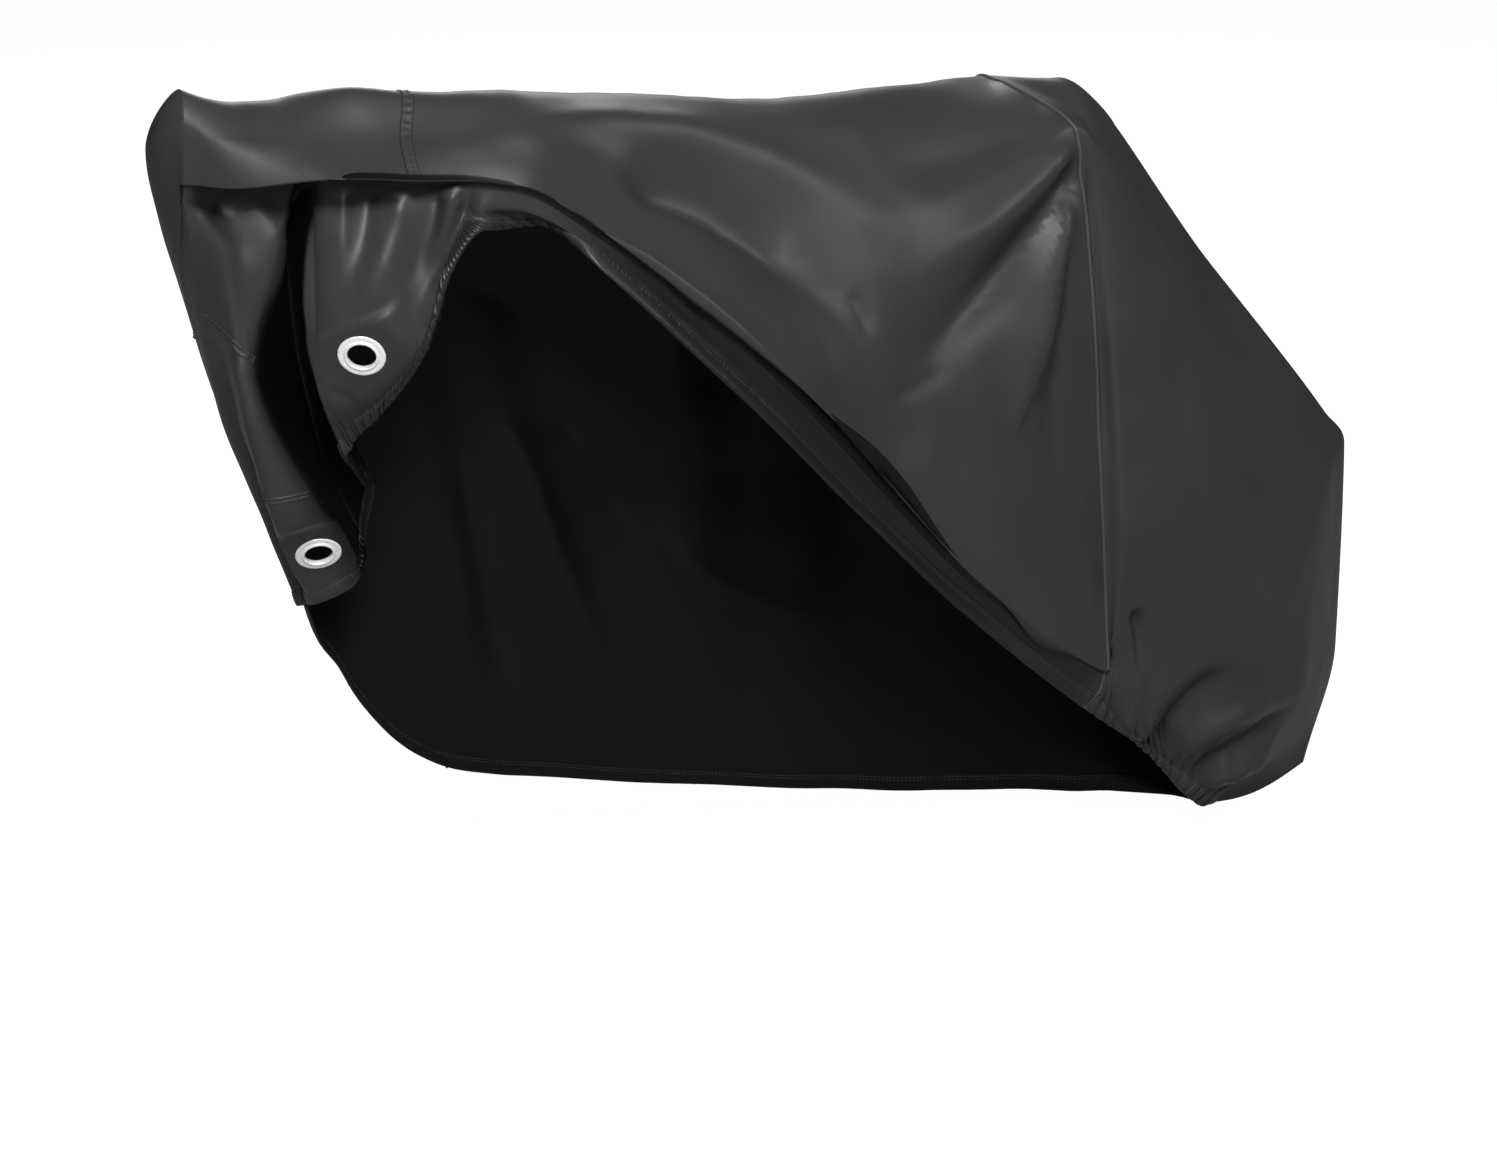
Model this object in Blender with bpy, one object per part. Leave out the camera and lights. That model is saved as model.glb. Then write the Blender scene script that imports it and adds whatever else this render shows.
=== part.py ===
"""Fitted bicycle cover, its near side lifted and rolled up, as it hangs over a bicycle.

Metres, +Z up.  -X is the nose, +X the tail, -Y the near side, +Y the far side.
The cloth is one surface, read through sections that run from the near hem, over the
spine, to the far hem.  It is cut into the panels that a maker sews, each a thin closed
sheet in its own node.  Two metal eyelets sit in the strips at the front hem.
"""

from collections import namedtuple
import math

import bmesh
import bpy
import numpy as np
from mathutils import Matrix, Vector

# ---------------------------------------------------------------- driving sizes
CLOTH = 0.0016            # thickness of the coated cloth with its coating
HALF_GAP = 0.0004         # each panel ends this far short of a seam
FOOTPRINT_CENTRE = Vector((0.17681, 0.04549, 0.03875))   # of the tables' frame, at the lowest hem

EYELET_HOLE = 0.0155      # radius of the clear hole
EYELET_BARREL = 0.0165    # radius of the barrel that passes through the cloth
EYELET_FLANGE = 0.0260    # radius of the flange that shows
FLANGE_THICKNESS = 0.0012
FLANGE_CLEARANCE = 0.0004
CLOTH_HOLE = 0.0170       # radius of the hole cut in the strip
EYELET_FLAT = 0.052       # the strip is flat this far around an eyelet
EYELET_BLEND = 0.080      # and back in its folds this far out
EYELET_REACH = 0.045      # cloth further from the eyelet's plane is another fold
ROUND_STEPS = 24

# ---------------------------------------------------------------- sections
# Each section is named by what it passes.  The lower near points follow the seam
# above the eyelets, the knee where the cloth turns in, and the near hem.
Top = namedtuple("Top", "section spine shoulder lip tuck")
Low = namedtuple("Low", "section seam knee hem")
Far = namedtuple("Far", "section shoulder seam hem")

TOPS = [
    Top("nose crease", (-.580, .165, 1.095), (-.590, .140, 1.065), (-.595, .135, 1.000), .006),
    Top("nose face", (-.555, .150, 1.085), (-.567, .112, 1.050), (-.562, .090, 1.001), .026),
    Top("fold mouth", (-.525, .140, 1.080), (-.522, .086, 1.047), (-.503, .036, 1.012), .030),
    Top("fold in", (-.505, .132, 1.080), (-.510, .077, 1.046), (-.497, .030, 1.013), .055),
    Top("fold back", (-.490, .127, 1.080), (-.500, .070, 1.045), (-.491, .024, 1.014), .055),
    Top("flap lip", (-.460, .115, 1.085), (-.476, .060, 1.045), (-.482, .015, 1.015), .030),
    Top("flap face", (-.420, .090, 1.090), (-.440, .050, 1.045), (-.455, -.005, 1.015), .030),
    Top("front seam", (-.365, .065, 1.085), (-.390, .020, 1.045), (-.415, -.040, 1.015), .030),
    Top("flap end", (-.310, .050, 1.080), (-.335, .000, 1.040), (-.365, -.070, 1.015), .012),
    Top("over bar", (-.245, .040, 1.075), (-.280, -.020, 1.040), (-.325, -.100, 1.010), .010),
    Top("bar", (-.135, .030, 1.060), (-.185, -.050, 1.010), (-.225, -.130, .945), .014),
    Top("span", (.105, .030, 1.025), (.035, -.090, .910), (-.030, -.200, .770), .020),
    Top("before saddle", (.285, .045, 1.015), (.235, -.080, .915), (.250, -.180, .480), .014),
    Top("rear seam", (.425, .070, 1.005), (.445, -.070, .970), (.490, -.115, .310), .006),
    Top("saddle back", (.480, .000, 1.010), (.485, -.075, .940), (.500, -.135, .430), .000),
    Top("tail slope", (.710, .000, .765), (.660, -.060, .730), (.605, -.140, .485), .000),
    Top("tail edge", (.920, .000, .535), (.855, -.045, .520), (.730, -.120, .370), .000),
    Top("tail corner", (.955, .000, .490), (.900, -.045, .475), (.790, -.110, .330), .000),
    Top("tail back", (.960, .000, .225), (.910, -.040, .215), (.840, -.075, .190), .000),
    Top("tail foot", (.920, .000, .065), (.880, .000, .055), (.840, .000, .055), .000),
]
LOWS = [
    Low("nose crease", (-.560, .155, .845), (-.495, .185, .680), (-.410, .215, .475)),
    Low("nose face", (-.555, .103, .825), (-.522, .104, .645), (-.421, .183, .485)),
    Low("fold mouth", (-.538, .096, .808), (-.480, .085, .650), (-.385, .150, .515)),
    Low("fold in", (-.455, .145, .775), (-.420, .150, .655), (-.365, .165, .550)),
    Low("fold back", (-.445, .108, .790), (-.418, .112, .705), (-.380, .115, .630)),
    Low("flap lip", (-.495, .035, .845), (-.485, .040, .775), (-.445, .050, .710)),
    Low("flap face", (-.465, -.010, .860), (-.450, .000, .800), (-.430, .020, .745)),
    Low("front seam", (-.400, -.040, .910), (-.400, -.045, .870), (-.410, -.045, .830)),
    Low("flap end", (-.370, -.055, .985), (-.365, -.060, .972), (-.355, -.070, .958)),
    Low("over bar", (-.330, -.085, .985), (-.305, -.077, .972), (-.275, -.066, .955)),
    Low("bar", (-.232, -.117, .932), (-.236, -.123, .924), (-.242, -.132, .915)),
    Low("span", (-.036, -.178, .742), (-.046, -.180, .732), (-.056, -.190, .722)),
    Low("before saddle", (.245, -.162, .470), (.238, -.160, .460), (.230, -.165, .450)),
    Low("rear seam", (.485, -.108, .285), (.478, -.104, .275), (.470, -.100, .263)),
    Low("saddle back", (.540, -.100, .250), (.567, -.085, .210), (.588, -.070, .178)),
    Low("tail slope", (.620, -.110, .245), (.645, -.065, .155), (.650, -.050, .120)),
    Low("tail edge", (.690, -.090, .185), (.693, -.052, .115), (.680, -.040, .092)),
    Low("tail corner", (.720, -.085, .165), (.710, -.045, .095), (.695, -.035, .080)),
    Low("tail back", (.770, -.060, .100), (.740, -.035, .070), (.730, -.020, .055)),
    Low("tail foot", (.790, .000, .055), (.770, .000, .050), (.755, .000, .045)),
]
FARS = [
    Far("nose crease", (-.597, .210, 1.030), (-.530, .240, .800), (-.400, .235, .465)),
    Far("nose face", (-.565, .215, 1.025), (-.480, .250, .785), (-.375, .250, .410)),
    Far("fold mouth", (-.530, .210, 1.020), (-.455, .255, .775), (-.345, .260, .370)),
    Far("fold in", (-.505, .202, 1.016), (-.432, .259, .764), (-.325, .263, .335)),
    Far("fold back", (-.490, .198, 1.014), (-.418, .260, .760), (-.308, .266, .310)),
    Far("flap lip", (-.460, .190, 1.010), (-.385, .260, .755), (-.275, .270, .270)),
    Far("flap face", (-.420, .170, 1.005), (-.350, .260, .745), (-.235, .275, .235)),
    Far("front seam", (-.365, .150, 1.000), (-.295, .260, .735), (-.185, .280, .205)),
    Far("flap end", (-.310, .140, .995), (-.245, .255, .730), (-.115, .285, .180)),
    Far("over bar", (-.245, .130, .985), (-.185, .250, .720), (-.025, .290, .155)),
    Far("bar", (-.130, .120, .970), (-.080, .240, .710), (.105, .290, .120)),
    Far("span", (.115, .110, .940), (.170, .220, .680), (.350, .270, .065)),
    Far("before saddle", (.290, .110, .950), (.335, .200, .670), (.485, .235, .045)),
    Far("rear seam", (.420, .115, .940), (.445, .185, .655), (.580, .190, .040)),
    Far("saddle back", (.485, .080, .930), (.590, .170, .585), (.640, .145, .040)),
    Far("tail slope", (.680, .060, .725), (.765, .140, .380), (.685, .100, .045)),
    Far("tail edge", (.880, .048, .515), (.835, .120, .300), (.710, .075, .045)),
    Far("tail corner", (.925, .045, .460), (.860, .110, .250), (.720, .065, .045)),
    Far("tail back", (.930, .035, .200), (.870, .070, .100), (.745, .035, .045)),
    Far("tail foot", (.870, .000, .055), (.820, .000, .055), (.755, .000, .045)),
]
SECTIONS = [row.section for row in TOPS]
GROOVE_PART = 0.12        # the groove lies this far down from the lip to the seam
TUCK_FALL = 0.33          # a tuck falls this much for each metre that it turns in
KEEL_SAG = 0.014          # the keel under the tail hangs this far below a straight line
FAR_FULLNESS = 0.015      # the far side stands out this much above its hem

# Steps between two neighbouring sections, nose to tail, and between the points of one
# section, from the near hem over the spine to the far hem.
STEPS_ALONG = [4, 2, 4, 2, 3, 4, 3, 2, 2, 3, 6, 6, 6, 3, 5, 4, 2, 4, 4]
STEPS_DOWN_NEAR = {"knee": 5, "seam": 3, "groove": 4, "lip": 2, "shoulder": 4, "spine": 3}
STEPS_DOWN_FAR = {"shoulder": 4, "seam": 9, "fullness": 4, "hem": 4}
NEAR_STEPS = sum(STEPS_DOWN_NEAR.values())
FAR_STEPS = sum(STEPS_DOWN_FAR.values())
KNEE = STEPS_DOWN_NEAR["knee"]
NEAR_SEAM = KNEE + STEPS_DOWN_NEAR["seam"]
FAR_SEAM = NEAR_STEPS + STEPS_DOWN_FAR["shoulder"] + STEPS_DOWN_FAR["seam"]
LAST = NEAR_STEPS + FAR_STEPS
BOW_STEPS = 2             # across the narrow face that closes the nose
BOW_FULLNESS = 0.012
BOW_FADE = 3              # rows under the spine over which the fullness fades

# ---------------------------------------------------------------- folds
# A fold runs straight in side view from (x0, z0) to (x1, z1); depth below zero is a
# trough.  It is as wide as its width at the start and fans out by `fan` at the end.
Fold = namedtuple("Fold", "side x0 z0 x1 z1 width fan depth")
FOLDS = [
    Fold("near", .450, .940, .160, .560, .030, 2.2, -.014),
    Fold("near", .450, .940, .300, .480, .022, 2.0, .012),
    Fold("near", .455, .930, .420, .420, .018, 1.8, -.012),
    Fold("near", .470, .930, .500, .420, .014, 1.6, .010),
    Fold("near", .490, .930, .580, .520, .016, 1.8, -.009),
    Fold("near", .040, .960, .280, .560, .030, 1.6, -.016),
    Fold("near", -.100, 1.00, .160, .960, .030, 1.3, -.012),
    Fold("near", .640, .180, .780, .330, .012, 2.2, -.012),
    Fold("near", .660, .130, .860, .250, .012, 2.0, -.012),
    Fold("near", .640, .200, .660, .420, .012, 2.2, -.010),
    Fold("near", .690, .090, .850, .130, .010, 1.8, -.009),
    Fold("far", -.520, 1.00, -.300, .380, .035, 1.5, .012),
    Fold("far", -.360, 1.00, -.120, .300, .035, 1.6, -.016),
    Fold("far", -.180, .960, .080, .220, .035, 1.6, .014),
    Fold("far", .020, .960, .200, .220, .040, 1.5, -.016),
    Fold("far", .300, .900, .400, .150, .035, 1.6, .014),
    Fold("far", .420, .900, .620, .250, .030, 1.8, -.014),
    Fold("far", .500, .880, .800, .330, .025, 1.8, .010),
]

TAIL = 0.55               # behind here folds fade towards the keel
TAIL_ROOM = 0.09
FOLD_RISE = 0.20          # a fold grows over this part of its run
FOLD_FADE = 0.33          # and fades over this part
FACING = 0.10             # cloth turned less than this to a side takes none of its folds

# ---------------------------------------------------------------- eyelets
Eyelet = namedtuple("Eyelet", "node strip centre outward")
EYELETS = [
    Eyelet("near_eyelet", "near_eyelet_strip", (-.460, .000, .824), (-.58, -.73, -.36)),
    Eyelet("far_eyelet", "far_eyelet_strip", (-.442, .134, .562), (-.31, -.78, -.54)),
]


def pchip(knots, values, at):
    """Smooth curve through the values with no overshoot, read at the given places."""
    knots = np.asarray(knots, float)
    values = np.asarray(values, float)
    at = np.asarray(at, float)
    step = np.diff(knots).reshape((-1,) + (1,) * (values.ndim - 1))
    slope = np.diff(values, axis=0) / step
    before, after = slope[:-1], slope[1:]
    total = before + after
    same_way = (before * after > 0) & (np.abs(total) > 1e-12)
    safe_total = np.where(same_way, total, 1.0)
    middle = np.where(same_way, 2 * before * after / safe_total, 0.0)
    tangent = np.concatenate([slope[:1], middle, slope[-1:]])
    cell = np.clip(np.searchsorted(knots, at, side="right") - 1, 0, len(knots) - 2)
    width = step[cell]
    local = ((at - knots[cell]).reshape(width.shape)) / width
    return (values[cell] * (1 + 2 * local) * (1 - local) ** 2
            + tangent[cell] * width * local * (1 - local) ** 2
            + values[cell + 1] * local ** 2 * (3 - 2 * local)
            + tangent[cell + 1] * width * local ** 2 * (local - 1))


def control_net():
    """Rows of control points: near hem, knee, seam, groove, lip, shoulder, spine, far side."""
    rows = []
    for index, (top, low, far) in enumerate(zip(TOPS, LOWS, FARS)):
        spine, shoulder, lip = (np.array(point) for point in top[1:4])
        seam, knee, hem = (np.array(point) for point in low[1:])
        far_shoulder, far_seam, far_hem = (np.array(point) for point in far[1:])
        groove = lip + (seam - lip) * GROOVE_PART
        groove = groove + top.tuck * np.array((0.0, 1.0, -TUCK_FALL))
        fullness = (far_seam + far_hem) / 2
        if index < len(TOPS) - 1:
            fullness = fullness + np.array((0.0, FAR_FULLNESS, 0.0))
        rows.append([hem, knee, seam, groove, lip, shoulder, spine,
                     far_shoulder, far_seam, fullness, far_hem])
    return np.array(rows)


def spread(steps):
    """Places of the samples when each span between knots takes its number of steps."""
    places = [0.0]
    for span, count in enumerate(steps):
        places.extend(span + (k + 1) / count for k in range(count))
    return np.array(places)


def cover_grid():
    """The whole surface as a grid: first index nose to tail, second near hem to far hem."""
    net = control_net()
    lengths = np.linalg.norm(np.diff(net, axis=0), axis=2).mean(axis=1)
    stations = np.concatenate([[0.0], np.cumsum(lengths)])
    along = np.interp(spread(STEPS_ALONG), range(len(stations)), stations)
    rows = pchip(stations, net, along)
    down = spread(list(STEPS_DOWN_NEAR.values()) + list(STEPS_DOWN_FAR.values()))
    across = pchip(range(net.shape[1]), np.swapaxes(rows, 0, 1), down)
    grid = np.swapaxes(across, 0, 1)
    close_tail(grid)
    return grid


def close_tail(grid):
    """The last section is a straight keel where the near and far sides meet."""
    top, hem = grid[-1, NEAR_STEPS].copy(), grid[-1, 0].copy()
    for j in range(LAST + 1):
        count = NEAR_STEPS if j <= NEAR_STEPS else FAR_STEPS
        part = abs(j - NEAR_STEPS) / count
        sag = np.array((0.0, 0.0, -KEEL_SAG * math.sin(math.pi * part)))
        grid[-1, j] = top + (hem - top) * part + sag


def bow_grid(grid):
    """The narrow face between the nose crease and the far corner, hem to peak."""
    strip = np.zeros((NEAR_STEPS + 1, BOW_STEPS + 1, 3))
    for j in range(NEAR_STEPS + 1):
        near, far = grid[0, j], grid[0, LAST - j]
        for k in range(BOW_STEPS + 1):
            part = k / BOW_STEPS
            fade = min(1.0, (NEAR_STEPS - j) / BOW_FADE)
            round_out = BOW_FULLNESS * math.sin(math.pi * part) * fade
            strip[j, k] = near + (far - near) * part + np.array((-round_out, 0.0, 0.0))
    return strip


class Surface:
    """Shared points and labelled triangles of the whole cover."""

    def __init__(self):
        self.points = []
        self.lookup = {}
        self.faces = []
        self.labels = []

    def point(self, place):
        key = tuple(np.round(place, 6))
        if key not in self.lookup:
            self.lookup[key] = len(self.points)
            self.points.append(np.array(place, float))
        return self.lookup[key]

    def quad(self, corners, label):
        loop = []
        for corner in corners:
            index = self.point(corner)
            if index not in loop:
                loop.append(index)
        if len(loop) == 4:
            a, b, c, d = loop
            across = np.linalg.norm(self.points[a] - self.points[c])
            along = np.linalg.norm(self.points[b] - self.points[d])
            halves = [[a, b, c], [a, c, d]] if across <= along else [[a, b, d], [b, c, d]]
        else:
            halves = [loop] if len(loop) == 3 else []
        for half in halves:
            self.faces.append(half)
            self.labels.append(label)

    def normals(self):
        points = np.array(self.points)
        total = np.zeros_like(points)
        for face in self.faces:
            flat = np.cross(points[face[1]] - points[face[0]], points[face[2]] - points[face[0]])
            flat = flat / max(np.linalg.norm(flat), 1e-12)
            for k in range(3):
                to_next = points[face[(k + 1) % 3]] - points[face[k]]
                to_last = points[face[k - 1]] - points[face[k]]
                size = np.linalg.norm(to_next) * np.linalg.norm(to_last)
                total[face[k]] += flat * math.acos(np.clip(to_next @ to_last / size, -1, 1))
        return total / np.linalg.norm(total, axis=1)[:, None]


def panel_name(i, j):
    """Which cut piece a cell of the grid belongs to."""
    section = np.searchsorted(np.cumsum(STEPS_ALONG), i, side="right")
    here = SECTIONS[section]
    index = SECTIONS.index(here)
    if index >= SECTIONS.index("rear seam"):
        return "rear_panel"
    if index >= SECTIONS.index("front seam"):
        return "middle_panel"
    if j < NEAR_SEAM and index >= SECTIONS.index("fold back"):
        return "near_eyelet_strip"
    if j < KNEE:
        return "far_eyelet_strip"
    if j < NEAR_SEAM or j >= FAR_SEAM:
        return "nose_panel"
    return "front_panel"


def build_surface():
    grid = cover_grid()
    surface = Surface()
    count = grid.shape[0]
    for i in range(count - 1):
        for j in range(LAST):
            corners = (grid[i, j], grid[i + 1, j], grid[i + 1, j + 1], grid[i, j + 1])
            surface.quad(corners, panel_name(i, j))
    strip = bow_grid(grid)
    for j in range(NEAR_STEPS):
        for k in range(BOW_STEPS):
            corners = (strip[j, k], strip[j, k + 1], strip[j + 1, k + 1], strip[j + 1, k])
            label = "nose_panel" if j < NEAR_SEAM else "front_panel"
            surface.quad(corners[::-1], label)
    return surface


def fold_surface(surface):
    """Push the troughs and ridges into the surface along its normals."""
    normals = surface.normals()
    points = np.array(surface.points)
    push = np.zeros(len(points))
    for fold in FOLDS:
        start, end = np.array((fold.x0, fold.z0)), np.array((fold.x1, fold.z1))
        run = end - start
        offset = points[:, [0, 2]] - start
        part = offset @ run / (run @ run)
        away = np.abs(offset[:, 0] * run[1] - offset[:, 1] * run[0]) / np.linalg.norm(run)
        width = fold.width * (1 + (fold.fan - 1) * np.clip(part, 0, 1))
        ends = np.clip(np.minimum(part / FOLD_RISE, (1 - part) / FOLD_FADE), 0, 1)
        side = normals[:, 1] < -FACING if fold.side == "near" else normals[:, 1] > FACING
        room = np.where(points[:, 0] > TAIL, np.clip(np.abs(points[:, 1]) / TAIL_ROOM, 0, 1), 1)
        push += side * ends * room * fold.depth * np.exp(-(away / width) ** 2)
    surface.points = list(points + normals * push[:, None])


def flatten_at_eyelets(surface):
    """The cloth is clamped flat by the flanges of each eyelet."""
    points = np.array(surface.points)
    owners = {}
    for face, label in zip(surface.faces, surface.labels):
        for index in face:
            owners.setdefault(index, set()).add(label)
    for eyelet in EYELETS:
        centre = np.array(eyelet.centre)
        outward = np.array(eyelet.outward) / np.linalg.norm(eyelet.outward)
        for index, labels in owners.items():
            if eyelet.strip not in labels:
                continue
            offset = points[index] - centre
            height = offset @ outward
            reach = np.linalg.norm(offset - height * outward)
            share = np.clip((EYELET_BLEND - reach) / (EYELET_BLEND - EYELET_FLAT), 0, 1)
            share *= np.clip(2 - 2 * abs(height) / EYELET_REACH, 0, 1)
            points[index] -= outward * height * share * share * (3 - 2 * share)
    surface.points = list(points)


def thick_panel(surface, normals, label):
    """One cut piece as a closed sheet, a little short of its neighbours at each seam."""
    points = np.array(surface.points)
    faces = [face for face, name in zip(surface.faces, surface.labels) if name == label]
    edges = {}
    for face in faces:
        for a, b in zip(face, face[1:] + face[:1]):
            edges[(a, b)] = (b, a) not in edges
            if (b, a) in edges:
                edges[(b, a)] = False
    rim = [edge for edge, free in edges.items() if free]
    inward = {index: np.zeros(3) for edge in rim for index in edge}
    for a, b in rim:
        for index in (a, b):
            away = np.cross(normals[index], points[b] - points[a])
            inward[index] += away / np.linalg.norm(away)
    used = sorted({index for face in faces for index in face})
    number = {index: k for k, index in enumerate(used)}
    mesh = bmesh.new()
    outer, inner = [], []
    for index in used:
        place = points[index]
        if index in inward:
            turn = inward[index]
            place = place + turn * 2 * HALF_GAP / max(turn @ turn, 1.0)
        half = normals[index] * CLOTH / 2
        outer.append(mesh.verts.new(Vector(place + half) - FOOTPRINT_CENTRE))
        inner.append(mesh.verts.new(Vector(place - half) - FOOTPRINT_CENTRE))
    for face in faces:
        mesh.faces.new([outer[number[index]] for index in face])
        mesh.faces.new([inner[number[index]] for index in reversed(face)])
    for a, b in rim:
        a, b = number[a], number[b]
        mesh.faces.new((outer[b], outer[a], inner[a], inner[b]))
    bmesh.ops.triangulate(mesh, faces=mesh.faces[:])
    return mesh


def make_material(name, colour, roughness, metallic=0.0):
    material = bpy.data.materials.new(name)
    material.use_nodes = True
    shader = material.node_tree.nodes["Principled BSDF"]
    shader.inputs["Base Color"].default_value = (*colour, 1.0)
    shader.inputs["Roughness"].default_value = roughness
    shader.inputs["Metallic"].default_value = metallic
    return material


def add_object(name, mesh, material):
    data = bpy.data.meshes.new(name)
    mesh.to_mesh(data)
    mesh.free()
    data.materials.append(material)
    piece = bpy.data.objects.new(name, data)
    bpy.context.collection.objects.link(piece)
    return piece


def eyelet_frame(eyelet):
    """Place and turn of an eyelet: its own Z runs outward through the hole."""
    turn = Vector(eyelet.outward).to_track_quat("Z", "Y").to_matrix().to_4x4()
    return Matrix.Translation(Vector(eyelet.centre) - FOOTPRINT_CENTRE) @ turn


def make_eyelet(eyelet, material):
    """A barrel between two flanges, turned from one profile."""
    slot = CLOTH / 2 + FLANGE_CLEARANCE
    face = slot + FLANGE_THICKNESS
    profile = [(EYELET_HOLE, -face), (EYELET_FLANGE, -face), (EYELET_FLANGE, -slot),
               (EYELET_BARREL, -slot), (EYELET_BARREL, slot), (EYELET_FLANGE, slot),
               (EYELET_FLANGE, face), (EYELET_HOLE, face)]
    mesh = bmesh.new()
    rings = []
    for step in range(ROUND_STEPS):
        angle = 2 * math.pi * step / ROUND_STEPS
        rings.append([mesh.verts.new((r * math.cos(angle), r * math.sin(angle), z))
                      for r, z in profile])
    for this, following in zip(rings, rings[1:] + rings[:1]):
        for k in range(len(profile)):
            n = (k + 1) % len(profile)
            mesh.faces.new((this[k], following[k], following[n], this[n]))
    bmesh.ops.recalc_face_normals(mesh, faces=mesh.faces[:])
    piece = add_object(eyelet.node, mesh, material)
    piece.matrix_world = eyelet_frame(eyelet)
    return piece


def cut_hole(strip, eyelet):
    """The strip's hole for the barrel, cut by a short cylinder."""
    mesh = bmesh.new()
    bmesh.ops.create_cone(mesh, cap_ends=True, segments=ROUND_STEPS, radius1=CLOTH_HOLE,
                          radius2=CLOTH_HOLE, depth=EYELET_FLAT / 2)
    data = bpy.data.meshes.new(eyelet.node + "_cutter")
    mesh.to_mesh(data)
    mesh.free()
    cutter = bpy.data.objects.new(eyelet.node + "_cutter", data)
    bpy.context.collection.objects.link(cutter)
    cutter.matrix_world = eyelet_frame(eyelet)
    cutter.hide_render = True
    cutter.display_type = "WIRE"
    cut = strip.modifiers.new("eyelet hole", "BOOLEAN")
    cut.operation = "DIFFERENCE"
    cut.solver = "EXACT"
    cut.object = cutter


def main():
    for old in list(bpy.data.objects):
        bpy.data.objects.remove(old, do_unlink=True)
    cloth = make_material("coated_cloth", (.055, .057, .060), .45)
    metal = make_material("eyelet_metal", (.80, .80, .80), .30, 1.0)
    surface = build_surface()
    fold_surface(surface)
    flatten_at_eyelets(surface)
    normals = surface.normals()
    pieces = {}
    for label in sorted(set(surface.labels)):
        mesh = thick_panel(surface, normals, label)
        pieces[label] = add_object(label, mesh, cloth)
    for eyelet in EYELETS:
        make_eyelet(eyelet, metal)
        cut_hole(pieces[eyelet.strip], eyelet)


main()
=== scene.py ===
"""Bicycle cover with its near side lifted: the cloth, its folds, hems, seams and eyelets,
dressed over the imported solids.

Metres, +Z up.  -X is the nose, +X the tail, -Y the near side, +Y the far side.  The cloth
is the same surface as in the solids, read at finer steps, with finer folds.
"""

from collections import namedtuple
import math

import bpy
import numpy as np
from mathutils import Matrix, Vector, noise

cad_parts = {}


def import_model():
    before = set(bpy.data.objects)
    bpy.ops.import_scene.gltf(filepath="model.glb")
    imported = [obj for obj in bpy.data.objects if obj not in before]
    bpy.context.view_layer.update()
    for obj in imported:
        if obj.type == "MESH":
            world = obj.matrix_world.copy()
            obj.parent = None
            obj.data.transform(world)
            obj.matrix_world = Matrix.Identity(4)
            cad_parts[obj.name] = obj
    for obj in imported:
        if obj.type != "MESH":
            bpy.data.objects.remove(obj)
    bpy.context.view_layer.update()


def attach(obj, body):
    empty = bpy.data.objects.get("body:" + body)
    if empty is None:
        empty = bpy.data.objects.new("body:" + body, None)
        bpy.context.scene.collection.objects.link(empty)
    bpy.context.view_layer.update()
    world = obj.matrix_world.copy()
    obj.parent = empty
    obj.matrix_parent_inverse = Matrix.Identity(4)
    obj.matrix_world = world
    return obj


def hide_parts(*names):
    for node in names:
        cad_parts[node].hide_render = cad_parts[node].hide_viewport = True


# ---- driving sizes
CLOTH = 0.0016
FOOTPRINT_CENTRE = np.array((0.17681, 0.04549, 0.03875))

EYELET_HOLE = 0.0155
EYELET_BARREL = 0.0165
EYELET_FLANGE = 0.0260
FLANGE_THICKNESS = 0.0012
FLANGE_CLEARANCE = 0.0004
CLOTH_HOLE = 0.0170
EYELET_FLAT = 0.040
EYELET_BLEND = 0.075
EYELET_REACH = 0.045

HEM_WIDTH = 0.021
HEM_STEP = 0.0042
RUCHE_STEP = 0.0011
RUCHE_PERIOD = 0.0058

STITCH_PITCH = 0.0052
STITCH_LENGTH = 0.0036
THREAD = 0.0007

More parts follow.
